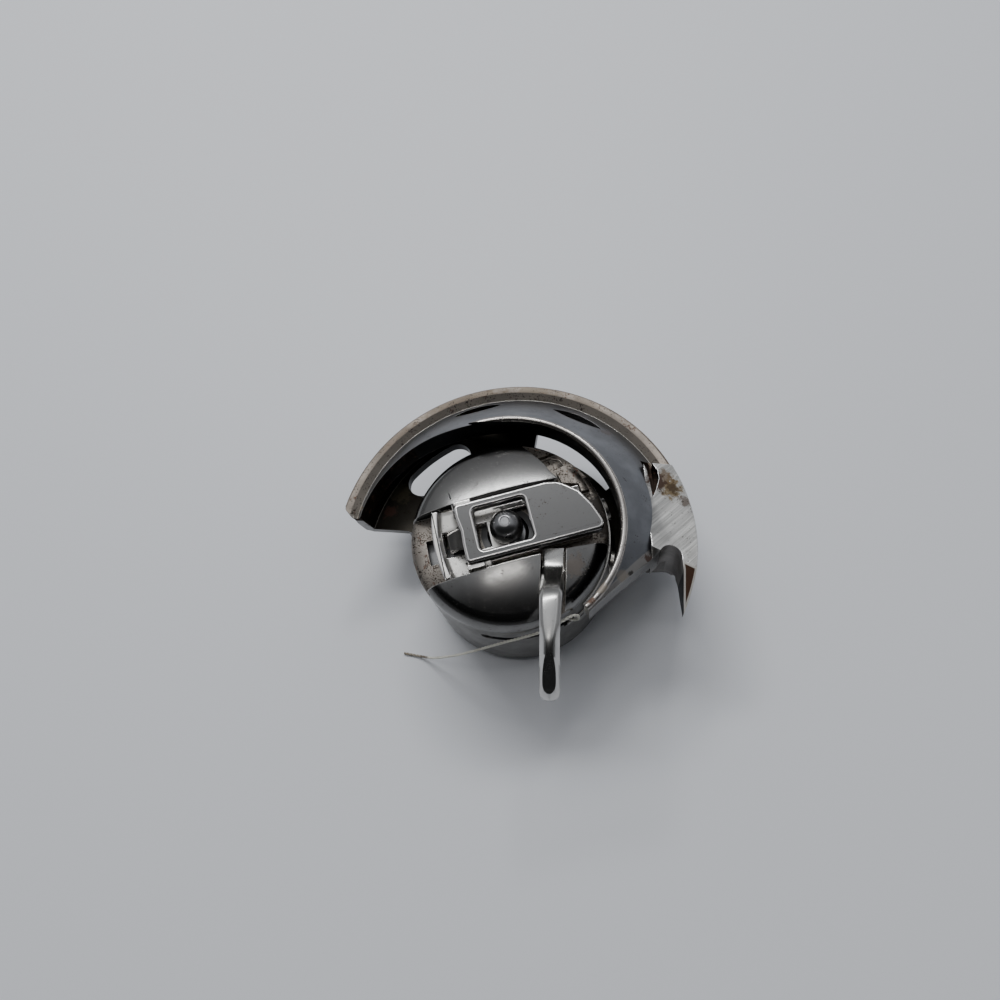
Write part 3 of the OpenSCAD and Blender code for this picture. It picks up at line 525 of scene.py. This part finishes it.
def build_thread_material(look):
    """Twisted cotton: off-white, a little green, dulled by fluff and soil and brown at its free end."""
    made, tree = new_material("sewing_thread_cotton")
    place = object_place(tree)
    fluff = noise(tree, place, 9000.0, 4.0, 0.7)
    soil = noise(tree, place, 350.0, 3.0)
    shaded = [c * 0.72 for c in look.thread_colour]
    base = mix_colour(tree, ramp(tree, fluff, 0.3, 0.7), (*look.thread_colour, 1), (*shaded, 1))
    base = mix_colour(tree, ramp(tree, soil, 0.55, 0.8), base, THREAD_SOIL)
    for centre, radius, tone in THREAD_STAINS:
        dirty = stain_and_shade_mask(tree, centre, radius, 1.0)
        base = mix_colour(tree, times(tree, dirty, 0.75), base, tone)
    normal = bump_normal(tree, fluff, 0.6, 0.00003)
    finish_material(tree, Base_Color=base, Roughness=0.85, Sheen_Weight=0.4, Normal=normal)
    return made


def build_finishes():
    """Builds the node groups and every finish, before the first piece."""
    if not FINISH:
        look = bpy.context.scene.bobbin_case_finish
        build_groups()
        build_hook_steels(look)
        build_case_steels(look)
        FINISH["cotton"] = build_thread_material(look)


# Mesh building blocks


def mesh_from(form, name):
    """Turns a bmesh into a mesh."""
    made = bpy.data.meshes.new(name)
    form.to_mesh(made)
    form.free()
    return made


def merged_mesh(node, name, cuts):
    """A CAD node's mesh with its doubles merged, its flat faces whole and its faces cut at some heights."""
    form = bmesh.new()
    form.from_mesh(NODES[node].data)
    bmesh.ops.remove_doubles(form, verts=form.verts, dist=2e-6)
    bmesh.ops.dissolve_limit(
        form, angle_limit=math.radians(0.2), verts=form.verts, edges=form.edges, use_dissolve_boundaries=False
    )
    for height in cuts:
        whole = [*form.verts, *form.edges, *form.faces]
        bmesh.ops.bisect_plane(form, geom=whole, dist=1e-6, plane_co=(0, 0, height * MM), plane_no=(0, 0, 1))
    return mesh_from(form, name)


def new_object(name, data):
    """An object in the scene."""
    made = bpy.data.objects.new(name, data)
    bpy.context.scene.collection.objects.link(made)
    return made


def new_piece(name, mesh, body, node):
    """A mesh as a piece that rides on a body and stands for a CAD node."""
    made = new_object(name, mesh)
    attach(made, body)
    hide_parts(node)
    return made


def smooth(mesh, angle):
    """Shades a mesh smooth between edges sharper than an angle in degrees."""
    for face in mesh.polygons:
        face.use_smooth = True
    mesh.set_sharp_from_angle(angle=math.radians(angle))


# How far a point may lie off its profile, in millimetres, and how well its face has to agree with it
PROFILE_REACH = 0.03
PROFILE_SLACK = 0.05
PROFILE_MATCH = 0.9


def turned_normal(at, way, lines, arcs):
    """Normal of the turned surface at a point, if its profile and the face's direction agree."""
    radius = math.hypot(at.x, at.y)
    if radius < 1e-3:
        return None
    out_x, out_y = at.x / radius, at.y / radius
    face = (way.x * out_x + way.y * out_y, way.z)
    near = []
    for (r0, z0), (r1, z1) in lines:
        length = math.hypot(r1 - r0, z1 - z0)
        across = ((z1 - z0) / length, (r0 - r1) / length)
        along = ((radius - r0) * (r1 - r0) + (at.z - z0) * (z1 - z0)) / length
        off = (radius - r0) * across[0] + (at.z - z0) * across[1]
        if abs(off) < PROFILE_REACH and -PROFILE_SLACK < along < length + PROFILE_SLACK:
            near.append(across)
    for r0, z0, size in arcs:
        length = math.hypot(radius - r0, at.z - z0)
        if abs(length - size) < PROFILE_REACH:
            near.append(((radius - r0) / length, (at.z - z0) / length))
    found, best = None, PROFILE_MATCH
    for across in near:
        match = face[0] * across[0] + face[1] * across[1]
        if abs(match) > best:
            found, best = [math.copysign(c, match * c) for c in across], abs(match)
    return Vector((found[0] * out_x, found[0] * out_y, found[1])) if found else None


def turned_shading(mesh, lines, arcs):
    """Gives every turned surface of a mesh the exact normals of its profile and leaves the rest as it is."""
    normals = [c.vector.copy() for c in mesh.corner_normals]
    for face in mesh.polygons:
        for corner in face.loop_indices:
            at = mesh.vertices[mesh.loops[corner].vertex_index].co / MM
            exact = turned_normal(at, face.normal, lines, arcs)
            if exact is not None:
                normals[corner] = exact
    mesh.normals_split_custom_set(normals)


def soften_edges(piece, width, segments, angle):
    """Rounds the edges sharper than an angle, with the piece's last finish."""
    made = piece.modifiers.new("edges", "BEVEL")
    made.width = width * MM
    made.segments = segments
    made.limit_method = "ANGLE"
    made.angle_limit = math.radians(angle)
    made.harden_normals = True
    made.use_clamp_overlap = False
    made.material = len(piece.data.materials) - 1


def add_border(mesh, inner, outer, width):
    """Draws a border inside the faces with the finish of index inner, in the finish of index outer."""
    form = bmesh.new()
    form.from_mesh(mesh)
    faces = [f for f in form.faces if f.material_index == inner]
    made = bmesh.ops.inset_region(form, faces=faces, thickness=width * MM, use_even_offset=True)
    for face in made["faces"]:
        face.material_index = outer
    form.to_mesh(mesh)
    form.free()


def dress(
    node, name, body, finishes, choose=None, width=0.0, segments=3, angle=32, turned=None, cuts=(),
    border=None,
):
    """A finished copy of a CAD node.

    choose names a face's finish from its middle, in millimetres, and its direction. width and segments are
    those of the rounded edges, turned is the profile of the turned surfaces, cuts are heights to cut faces
    at, and border is the finish that gets a border, the border's finish and its width.
    """
    mesh = merged_mesh(node, name, cuts)
    for finish in finishes:
        mesh.materials.append(FINISH[finish])
    if choose:
        for face in mesh.polygons:
            face.material_index = finishes.index(choose(face.center / MM, face.normal))
    if border:
        inner, outer, border_width = border
        add_border(mesh, finishes.index(inner), finishes.index(outer), border_width)
    smooth(mesh, angle)
    if turned:
        turned_shading(mesh, *turned)
    made = new_piece(name, mesh, body, node)
    if width:
        soften_edges(made, width, segments, angle)


def paint(node, finish):
    """Gives a CAD node that stays as it is a finish."""
    NODES[node].data.materials.clear()
    NODES[node].data.materials.append(FINISH[finish])


def spline(points, steps):
    """Points of a Catmull-Rom curve through tuples of any length."""
    made = []
    for i in range(len(points) - 1):
        a, b = points[max(i - 1, 0)], points[i]
        c, d = points[i + 1], points[min(i + 2, len(points) - 1)]
        for k in range(steps):
            t = k / steps
            at = []
            for p, q, r, s in zip(a, b, c, d):
                square, cube = 2 * p - 5 * q + 4 * r - s, 3 * q - 3 * r + s - p
                at.append(0.5 * (2 * q + (r - p) * t + square * t * t + cube * t**3))
            made.append(tuple(at))
    made.append(points[-1])
    return made


def join_rings(form, rings):
    """Skins a row of rings of vertices, closes both ends and gives the side faces, ring by ring."""
    sides = []
    for one, other in zip(rings, rings[1:]):
        for k in range(len(one)):
            n = (k + 1) % len(one)
            sides.append(form.faces.new((one[k], one[n], other[n], other[k])))
    form.faces.new(rings[0][::-1])
    form.faces.new(rings[-1])
    return sides


# Pieces

# Heights above the back face, and radii and places about the axis, in millimetres
WEB_TOP = 6.9
RIB_BACK = 10.9
GROOVE_FLOOR = 11.9
RIB_FACE = 12.5
CHEEK_EDGE = 15.9
CONE_TOP = 17.9
LIP_RADIUS = 13
GROOVE_RADIUS = 18.7
NOTCH_MIDDLE = (17.35, -3.32)
CHANNEL_HALF_WIDTH = 4.6

# Profiles of the turned surfaces as radius and height: straight lines, then arcs with their radius
HOOK_PROFILE = (
    [
        ((12.9, 0), (12.9, 5.5)), ((18.6, 5.5), (19.4, 6.3)), ((19.4, 6.3), (19.4, RIB_BACK)),
        ((20.5, RIB_BACK), (20.5, 12.2)), ((20.5, 12.2), (20.2, RIB_FACE)),
        ((19.5, RIB_FACE), (GROOVE_RADIUS, GROOVE_FLOOR)), ((GROOVE_RADIUS, GROOVE_FLOOR), (12.9, 17.88)),
        ((12.2, 18.25), (12.2, 15.6)), ((12.2, 15.6), (18.2, 9.42)), ((18.2, 9.42), (18.2, WEB_TOP)),
        ((12.0, WEB_TOP), (12.0, 1.2)),
    ],
    [(12.55, 18.25, 0.35)],
)
CASE_PROFILE = (
    [((11, 1.7), (11, 14.2))],
    [(0, -13.596, 31.496), (8.6, 14.2, 2.4), (10.15, 14.15, 0.9)],
)

HOOK_FINISHES = (
    "cone", "rim", "rim_corner", "land", "pocket", "beak", "beak_border", "inner", "web", "back", "lip",
    "groove", "notch",
)


def hook_finish(at, way):
    """Finish of a face of the hook. The narrow places come first, then the broad surfaces."""
    radius = math.hypot(at.x, at.y)
    outward = (way.x * at.x + way.y * at.y) / max(radius, 1e-6)
    by_notch = math.hypot(at.x - NOTCH_MIDDLE[0], at.y - NOTCH_MIDDLE[1]) < 1.5
    # The pocket's floor beside the land, and the rib's flat face
    if at.x > 14.9 and 3.4 < at.y < 9.6 and GROOVE_FLOOR < at.z < 12.6 and way.z > 0.8 and radius < 18.4:
        return "pocket"
    if abs(at.z - RIB_FACE) < 0.06 and way.z > 0.97:
        return "rim"
    # The beak's face, the land before it and the thread notch between them
    if at.y < -3.6 and at.x > 17 and way.z > 0.6:
        return "beak"
    if at.x > 15.2 and at.z > 11.5 and 0.87 < way.z < 0.97 and at.y > -4 and way.x > 0.2:
        return "land"
    beside_beak = at.x > 14 and at.y < -1.8 and at.z > 5
    if beside_beak and abs(way.z) < 0.7 and outward < 0.9 and (by_notch or way.y < -0.5):
        return "notch"
    # The cup and the underside, the web's top and the lip
    if at.z < 5.6 or (at.z < 7 and way.z < -0.5):
        return "back"
    if abs(at.z - WEB_TOP) < 0.1 and way.z > 0.9:
        return "web"
    if radius < LIP_RADIUS and at.z > CONE_TOP:
        return "lip"
    # The pocket's walls
    if 16 < radius < 18.72 and 9.4 < at.z < 15 and (abs(way.z) < 0.25 or at.z < 9.7 and way.z > 0.9):
        return "pocket"
    # The rib's chamfers and its groove
    if radius > 18.5 and at.z > 11.5 and way.z > 0.5:
        if outward > 0.3:
            return "rim_corner"
        return "groove" if outward < -0.3 else "rim"
    # The hollow inside, the cone and the rib's edge
    if outward < -0.3 and at.z > 1.0 or (way.z < -0.3 and at.z > 8 and radius < 19):
        return "inner"
    if at.z > 11.3 and radius < 19.1 and way.z > 0.2:
        return "cone"
    return "rim" if radius > 18.6 and at.z > 10.7 else "back"


def make_hook():
    """The crescent hook: satin cone, polished lip, worn rim, ground land and beak, and an inside painted
    near-black as painted shade.
    """
    dress(
        "hook_body", "hook_crescent", "hook", HOOK_FINISHES, hook_finish, turned=HOOK_PROFILE,
        cuts=(RIB_BACK,), border=("beak", "beak_border", 0.2),
    )


def make_post():
    """The centre post with its polished dome and centre dimple."""
    dress("hook_post", "hook_centre_post", "hook", ("post",), width=0.08)


def case_finish(at, way):
    """Finish of a face of the case: bored inside, plain wall, rough channel and recess, polished cheeks."""
    radius = math.hypot(at.x, at.y)
    across = at.y * math.cos(LATCH_TURN) - at.x * math.sin(LATCH_TURN)
    if at.z < 14.15 and radius < 10.4:
        return "case_inner"
    if at.z < 13.6:
        return "case_wall"
    if way.z > 0.95 and at.z < CHEEK_EDGE:
        return "floor"
    if at.z > 14.5 and radius < 10.8 and abs(way.z) < 0.3:
        return "floor" if at.z < CHEEK_EDGE else "dome"
    return "floor" if at.z < 15.05 and abs(across) < CHANNEL_HALF_WIDTH else "dome"


def make_case():
    """The bobbin case with its polished cheeks, and its centre tube."""
    dress(
        "case_shell", "case_shell_polished", "case",
        ("dome", "floor", "case_inner", "case_wall"), case_finish, turned=CASE_PROFILE,
    )
    paint("case_tube", "case_inner")


def make_lever():
    """The latch lever with its window: satin, with polished rounded edges whose lighter finish is a painted
    highlight.
    """
    dress(
        "latch_lever", "latch_lever_plate", "lever", ("lever", "edge"),
        width=0.3, segments=5, angle=50,
    )


def make_slide():
    """The slide under the lever, with its upturned edge and ears."""
    dress(
        "latch_slide", "latch_slide_plate", "slide", ("slide", "edge"),
        width=0.18, segments=4, angle=50,
    )


def make_fittings():
    """Hinge pin, rivets, tension spring and its screws, and the bobbin's metal."""
    dress(
        "tension_spring", "tension_spring_leaf", "case", ("spring", "edge"),
        width=0.05, segments=2,
    )
    for node, body in (("tension_screw", "adjusting_screw"), ("spring_screw", "case")):
        dress(node, node + "_head", body, ("screw", "edge"), width=0.08)
    paint("latch_hinge_pin", "slide")
    paint("finger_rivets", "finger")
    for node in ("bobbin_front_flange", "bobbin_rear_flange", "bobbin_core"):
        paint(node, "bobbin")


# The finger runs along -Y between these x and y
FINGER_FOOT = (5.05, -2.55)
FINGER_TIP = (4.2, -18.4)
# Along the finger: y, underside, top, half width, half width of the flat along the top
FINGER_STATIONS = [
    (-2.56, 15.02, 16.58, 1.19, 0.98), (-4.4, 15.02, 16.6, 1.19, 0.98), (-5.3, 15.25, 17.2, 1.19, 0.94),
    (-6.6, 16.3, 18.6, 1.19, 0.86), (-7.9, 17.4, 19.9, 1.17, 0.78), (-8.8, 18.15, 20.38, 1.13, 0.74),
    (-9.8, 18.78, 20.53, 1.08, 0.7), (-11, 19.02, 20.57, 1.03, 0.6), (-12.2, 19.02, 20.57, 1.0, 0.46),
    (-13.1, 18.96, 20.5, 0.99, 0.32), (-13.8, 18.72, 20.32, 0.99, 0.24), (-14.3, 18.48, 20.1, 0.99, 0.28),
    (-15, 18.1, 19.75, 1.0, 0.46), (-16, 17.57, 19.22, 1.02, 0.6), (-17, 17.03, 18.68, 1.03, 0.62),
    (-17.45, 16.82, 18.44, 1.01, 0.55), (-17.72, 16.68, 18.28, 0.98, 0.44), (-17.9, 16.58, 18.15, 0.93, 0.26),
    (-18.0, 16.5, 18.03, 0.88, 0.14), (-18.15, 16.44, 17.78, 0.76, 0.14), (-18.28, 16.42, 17.45, 0.58, 0.12),
    (-18.37, 16.5, 17.0, 0.32, 0.1),
]
# Where along y the sides fall away, and the dish near the tip begins and ends, each with its length
FINGER_FALL = (-11.6, -1.6)
DISH_START = (-14.2, -1.2)
DISH_END = (-17.9, 0.4)
DISH_DEPTH = 0.14
FINGER_CHAMFER = 0.12
CREST = 0.03


def rise(value, start, length):
    """0 up to start and then up to 1 over the length, in the direction of the length's sign."""
    return min(1, max(0, (value - start) / length))


def make_finger():
    """The position finger: it rises from the cheek over the hook's lip, with a flat between broad bevels."""
    form = bmesh.new()
    rings = []
    for y, low, high, half, flat in spline(FINGER_STATIONS, 4):
        share = (y - FINGER_FOOT[1]) / (FINGER_TIP[1] - FINGER_FOOT[1])
        x = FINGER_FOOT[0] + (FINGER_TIP[0] - FINGER_FOOT[0]) * share
        fall = rise(y, *FINGER_FALL)
        # The bevels drop gently from the flat near the foot, and steeply towards the tip
        drop = min(0.42 + 0.5 * fall, (half - flat) * (0.75 + 1.3 * fall) + 0.05)
        dish = DISH_DEPTH * rise(y, *DISH_START) * rise(y, *DISH_END)
        side = [
            (half - FINGER_CHAMFER, low), (half, low + FINGER_CHAMFER), (half, high - drop),
            ((half + flat) / 2, high - drop * 0.36), (flat + 0.04, high - CREST), (flat - CREST, high),
        ]
        section = [(-sx, sz) for sx, sz in side] + [(0, high - dish)] + side[::-1]
        rings.append([form.verts.new(((x + sx) * MM, y * MM, sz * MM)) for sx, sz in section])
    # The flat along the top takes the finger's finish; every other face takes the lighter edge finish, a
    # painted highlight.
    top = (len(side) - 1, len(side))
    for k, face in enumerate(join_rings(form, rings)):
        face.material_index = 0 if k % len(section) in top else 1
    bmesh.ops.recalc_face_normals(form, faces=form.faces)
    mesh = mesh_from(form, "position_finger_blade")
    mesh.materials.append(FINISH["finger"])
    mesh.materials.append(FINISH["finger_edge"])
    smooth(mesh, 24)
    new_piece("position_finger_blade", mesh, "case", "position_finger")


# Route of the loose thread from the eye of the case, in millimetres
THREAD_ROUTE = [
    (6, -8.75, 11.5), (6.5, -9, 11.5), (7.1, -9.1, 11.8), (7.3, -9.15, 12.8), (7.2, -9.25, 14),
    (6.6, -9.45, 14.6), (5.7, -9.9, 14.6), (4.5, -10.5, 14.4), (3.2, -10.95, 14.1), (1.2, -11.3, 13.3),
    (-0.9, -11.5, 12.2), (-3.6, -11.75, 10.4), (-6.4, -11.7, 7.6), (-8.6, -11.3, 4.6), (-10.6, -10.8, 1.8),
    (-12.4, -10.3, 0.4), (-14.7, -9.8, 0.2),
]
PLY_RADIUS = 0.1 * MM
PLY_OFFSET = 0.078 * MM
PLY_PITCH = 0.9 * MM


def ply_rings(form, path, start, sides=6):
    """Rings of one ply of the thread, which winds round the path."""
    rings, run = [], 0.0
    for i, at in enumerate(path):
        if i:
            run += (at - path[i - 1]).length
        way = (path[min(i + 1, len(path) - 1)] - path[max(i - 1, 0)]).normalized()
        side = way.cross(Vector((0, 0, 1)) if abs(way.z) < 0.95 else Vector((1, 0, 0))).normalized()
        up = way.cross(side)
        turn = start + math.tau * run / PLY_PITCH
        middle = at + PLY_OFFSET * (math.cos(turn) * side + math.sin(turn) * up)
        angles = [math.tau * k / sides for k in range(sides)]
        rings.append(
            [form.verts.new(middle + PLY_RADIUS * (math.cos(a) * side + math.sin(a) * up)) for a in angles]
        )
    return rings


def make_thread():
    """The loose thread: two plies twisted together, from the eye of the case down to the table."""
    route = [Vector(p) * MM for p in spline(THREAD_ROUTE, 4)]
    fine = [Vector(p) for p in spline([tuple(p) for p in route], 4)]
    form = bmesh.new()
    for start in (0.0, math.pi):
        join_rings(form, ply_rings(form, fine, start))
    bmesh.ops.recalc_face_normals(form, faces=form.faces)
    mesh = mesh_from(form, "loose_thread")
    mesh.materials.append(FINISH["cotton"])
    smooth(mesh, 60)
    made = new_piece("loose_thread", mesh, "case", "thread_tail")


def coil_tree(name):
    """Geometry nodes that wind a round wire into a coil along Z, with named sizes."""
    tree = bpy.data.node_groups.new(name, "GeometryNodeTree")
    tree.interface.new_socket("Geometry", in_out="INPUT", socket_type="NodeSocketGeometry")
    for label, kind, default in (
        ("Coil radius", "Float", 0.001), ("Wire radius", "Float", 0.0001), ("Length", "Float", 0.003),
        ("Turns", "Float", 5.0), ("Steps", "Int", 32), ("Material", "Material", None),
    ):
        made = tree.interface.new_socket(label, in_out="INPUT", socket_type="NodeSocket" + kind)
        made.default_value = default
    tree.interface.new_socket("Geometry", in_out="OUTPUT", socket_type="NodeSocketGeometry")
    given = tree.nodes.new("NodeGroupInput").outputs
    out = tree.nodes.new("NodeGroupOutput").inputs

    def node(kind, inputs):
        return add_node(tree, "GeometryNode" + kind, inputs).outputs[0]

    radius = given["Coil radius"]
    spiral = {"Start Radius": radius, "End Radius": radius, "Height": given["Length"]}
    wind = node("CurveSpiral", {"Resolution": given["Steps"], "Rotations": given["Turns"], **spiral})
    ring = node("CurvePrimitiveCircle", {"Resolution": 10, "Radius": given["Wire radius"]})
    wire = node("CurveToMesh", {"Curve": wind, "Profile Curve": ring, "Fill Caps": True})
    smoothed = node("SetShadeSmooth", {"Geometry": node("RealizeInstances", {"Geometry": wire})})
    finished = node("SetMaterial", {"Geometry": smoothed, "Material": given["Material"]})
    tree.links.new(finished, out[0])
    return tree


def coil_piece(name, tree, place, body, node, sizes, finish):
    """Runs the coil tree, moves the result to its place and keeps it as a plain mesh."""
    holder = new_object(name + "_maker", bpy.data.meshes.new(name + "_maker"))
    run = holder.modifiers.new("coil", "NODES")
    run.node_group = tree
    sockets = {s.name: s.identifier for s in tree.interface.items_tree if s.in_out == "INPUT"}
    for label, value in sizes.items():
        run[sockets[label]] = value
    run[sockets["Material"]] = FINISH[finish]
    bpy.context.view_layer.update()
    mesh = bpy.data.meshes.new_from_object(holder.evaluated_get(bpy.context.evaluated_depsgraph_get()))
    mesh.name = name
    bpy.data.objects.remove(holder)
    mesh.transform(place)
    return new_piece(name, mesh, body, node)


# The latch spring and the thread left on the bobbin, in metres
SPRING_LENGTH = 0.0029
SPRING_RADIUS = 0.00064
SPRING_WIRE = 0.00011
STRAND = 0.00016


def make_latch_spring(tree):
    """The coil between its peg and the slide, along the latch's channel."""
    low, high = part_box("latch_spring")
    middle = (low + high) / 2
    latch = Matrix.Rotation(LATCH_TURN, 4, "Z")
    start = (latch.inverted() @ middle).x - SPRING_LENGTH / 2
    lying = Matrix.Rotation(math.radians(90), 4, "Y")
    place = latch @ Matrix.Translation((start, 0, middle.z)) @ lying
    sizes = {
        "Coil radius": SPRING_RADIUS, "Wire radius": SPRING_WIRE, "Length": SPRING_LENGTH, "Turns": 5.0,
        "Steps": 32,
    }
    coil = coil_piece(
        "latch_spring_coil", tree, place, "case", "latch_spring", sizes, "spring"
    )
    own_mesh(coil)


def make_winding(tree):
    """The thread wound on the bobbin."""
    low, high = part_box("thread_winding")
    radius = (high.x - low.x) / 2
    height = high.z - low.z - 2 * STRAND
    turns = height / (2 * STRAND)
    place = Matrix.Translation((0, 0, low.z + STRAND))
    sizes = {
        "Coil radius": radius - STRAND, "Wire radius": STRAND, "Length": height, "Turns": turns, "Steps": 40,
    }
    coil_piece("bobbin_thread_winding", tree, place, "bobbin", "thread_winding", sizes, "cotton")


# Stage

TABLE_HALF = 0.9
ROOM_DARK = (0.0, 0.0, 0.0, 1)
ROOM_PALE = (0.69, 0.707, 0.74, 1)
BACKDROP = (0.5, 0.51, 0.53, 1)
# Name, place, width, depth, power and colour of each lamp; all point at the middle of the table
LAMPS = (
    ("window_light", (-0.06, 0.29, 0.38), 0.36, 0.06, 1.24, (0.97, 0.985, 1.0)),
    ("ceiling_light", (-0.055, -0.015, 0.5), 0.032, 0.15, 0.13, (1.0, 0.98, 0.95)),
)
CAMERA_PLACE = (0.00809, -0.02952, 0.09203)
CAMERA_TIP = math.radians(23.39)
CAMERA_ROLL = math.radians(6.66)
CAMERA_LENS = 27.036


def make_table():
    """A plain pale table, just below the object."""
    mesh = bpy.data.meshes.new("table")
    corners = [(x * TABLE_HALF, y * TABLE_HALF, 0) for x, y in ((-1, -1), (1, -1), (1, 1), (-1, 1))]
    mesh.from_pydata(corners, [], [(0, 1, 2, 3)])
    made, tree = new_material("table_top")
    grain = noise(tree, object_place(tree), 1600.0, 3.0)
    colour = bpy.context.scene.bobbin_case_finish.table_colour
    normal = bump_normal(tree, grain, 0.08, 0.0001)
    finish_material(tree, Base_Color=(*colour, 1), Roughness=0.55, Normal=normal)
    mesh.materials.append(made)
    table = new_object("table", mesh)
    table.location.z = -0.00001


def make_room():
    """Soft light from above and behind, a dark side towards -Y and a plain backdrop."""
    world = bpy.data.worlds.new("soft_room")
    bpy.context.scene.world = world
    world.use_nodes = True
    tree = world.node_tree
    tree.nodes.clear()
    way = add_node(tree, "ShaderNodeTexCoord").outputs["Generated"]
    split = add_node(tree, "ShaderNodeSeparateXYZ", {0: way}).outputs
    bright = ramp(tree, split["Y"], -0.26, 0.04, 0.03, 1.0)
    high = ramp(tree, split["Z"], 0.3, 0.92, 0.38, 1.0)
    horizon = ramp(tree, split["Z"], 0.45, 0.05, 0.0, 0.13)
    glow = calculate(tree, "MAXIMUM", times(tree, bright, high), horizon)
    tone = mix_colour(tree, glow, ROOM_DARK, ROOM_PALE)
    room = add_node(tree, "ShaderNodeBackground", {"Color": tone, "Strength": 1.0}).outputs[0]
    backdrop = add_node(tree, "ShaderNodeBackground", {"Color": BACKDROP, "Strength": 1.0}).outputs[0]
    seen = add_node(tree, "ShaderNodeLightPath").outputs["Is Camera Ray"]
    both = add_node(tree, "ShaderNodeMixShader", {0: seen, 1: room, 2: backdrop}).outputs[0]
    add_node(tree, "ShaderNodeOutputWorld", {"Surface": both})


def make_lamps():
    """The window behind and the lamp above."""
    for name, at, width, depth, power, tint in LAMPS:
        lamp = bpy.data.lights.new(name, "AREA")
        lamp.shape = "RECTANGLE"
        lamp.size = width
        lamp.size_y = depth
        lamp.energy = power
        lamp.color = tint
        holder = new_object(name, lamp)
        holder.location = at
        holder.rotation_mode = "QUATERNION"
        holder.rotation_quaternion = (-Vector(at)).to_track_quat("-Z", "Y")


def make_camera():
    """A camera a hand's breadth above the table, tipped a little over the hook."""
    lens = bpy.data.cameras.new("bench_camera")
    lens.lens = CAMERA_LENS
    lens.sensor_width = 36
    lens.clip_start = 0.001
    lens.clip_end = 10
    holder = new_object("bench_camera", lens)
    turn = Matrix.Rotation(CAMERA_ROLL, 4, "Y") @ Matrix.Rotation(CAMERA_TIP, 4, "X")
    holder.matrix_world = Matrix.Translation(CAMERA_PLACE) @ turn
    bpy.context.scene.camera = holder


# Add-on


def colour(name, description, default):
    """A colour that can be changed in the panel."""
    return bpy.props.FloatVectorProperty(name=name, description=description, subtype="COLOR", default=default)


class BobbinCaseFinish(bpy.types.PropertyGroup):
    """Colours of the bobbin case, its hook and the table."""

    cone_colour: colour("Hook cone", "Colour of the hook's satin cone", (0.23, 0.238, 0.255))
    case_colour: colour("Case", "Colour of the case's polished cheeks", (0.2, 0.198, 0.193))
    lever_colour: colour("Lever", "Colour of the lever's satin top", (0.105, 0.104, 0.103))
    thread_colour: colour("Thread", "Colour of the thread", (0.95, 0.93, 0.82))
    table_colour: colour("Table", "Colour of the table top", (0.83, 0.845, 0.88))


class OBJECT_OT_case_camera(bpy.types.Operator):
    """Place the camera over the bench"""

    bl_idname = "object.case_camera"
    bl_label = "Camera"

    def execute(self, context):
        make_camera()
        return {"FINISHED"}


class OBJECT_OT_case_thread(bpy.types.Operator):
    """Lay the loose thread and wind the coils"""

    bl_idname = "object.case_thread"
    bl_label = "Thread and coils"

    def execute(self, context):
        build_finishes()
        make_thread()
        tree = coil_tree("wire_coil")
        make_latch_spring(tree)
        make_winding(tree)
        return {"FINISHED"}


class OBJECT_OT_case_hook(bpy.types.Operator):
    """Finish the hook and its post"""

    bl_idname = "object.case_hook"
    bl_label = "Hook"

    def execute(self, context):
        build_finishes()
        make_hook()
        make_post()
        return {"FINISHED"}


class OBJECT_OT_case_shell(bpy.types.Operator):
    """Finish the case, its finger and its small fittings"""

    bl_idname = "object.case_shell"
    bl_label = "Bobbin case"

    def execute(self, context):
        build_finishes()
        make_case()
        make_finger()
        make_fittings()
        return {"FINISHED"}


class OBJECT_OT_case_latch(bpy.types.Operator):
    """Finish the latch's lever and slide"""

    bl_idname = "object.case_latch"
    bl_label = "Latch"

    def execute(self, context):
        build_finishes()
        make_lever()
        make_slide()
        return {"FINISHED"}


class OBJECT_OT_case_stage(bpy.types.Operator):
    """Lay the table and hang the lights"""

    bl_idname = "object.case_stage"
    bl_label = "Table and light"

    def execute(self, context):
        make_table()
        make_room()
        make_lamps()
        return {"FINISHED"}


OPERATORS = (
    OBJECT_OT_case_camera,
    OBJECT_OT_case_thread,
    OBJECT_OT_case_hook,
    OBJECT_OT_case_shell,
    OBJECT_OT_case_latch,
    OBJECT_OT_case_stage,
)


class VIEW3D_PT_bobbin_case(bpy.types.Panel):
    """Colours and steps of the bobbin case"""

    bl_idname = "VIEW3D_PT_bobbin_case"
    bl_label = "Bobbin case"
    bl_space_type = "VIEW_3D"
    bl_region_type = "UI"
    bl_category = "Bobbin case"

    def draw(self, context):
        look = context.scene.bobbin_case_finish
        for name in BobbinCaseFinish.__annotations__:
            self.layout.prop(look, name)
        for operator in OPERATORS:
            self.layout.operator(operator.bl_idname)


CLASSES = (BobbinCaseFinish, *OPERATORS, VIEW3D_PT_bobbin_case)


def register():
    for kind in CLASSES:
        bpy.utils.register_class(kind)
    bpy.types.Scene.bobbin_case_finish = bpy.props.PointerProperty(type=BobbinCaseFinish)


def unregister():
    del bpy.types.Scene.bobbin_case_finish
    for kind in reversed(CLASSES):
        bpy.utils.unregister_class(kind)


def main():
    register()
    bpy.ops.object.case_camera()
    bpy.ops.object.case_thread()
    bpy.ops.object.case_hook()
    bpy.ops.object.case_shell()
    bpy.ops.object.case_latch()
    bpy.ops.object.case_stage()


if __name__ == "__main__":
    main()
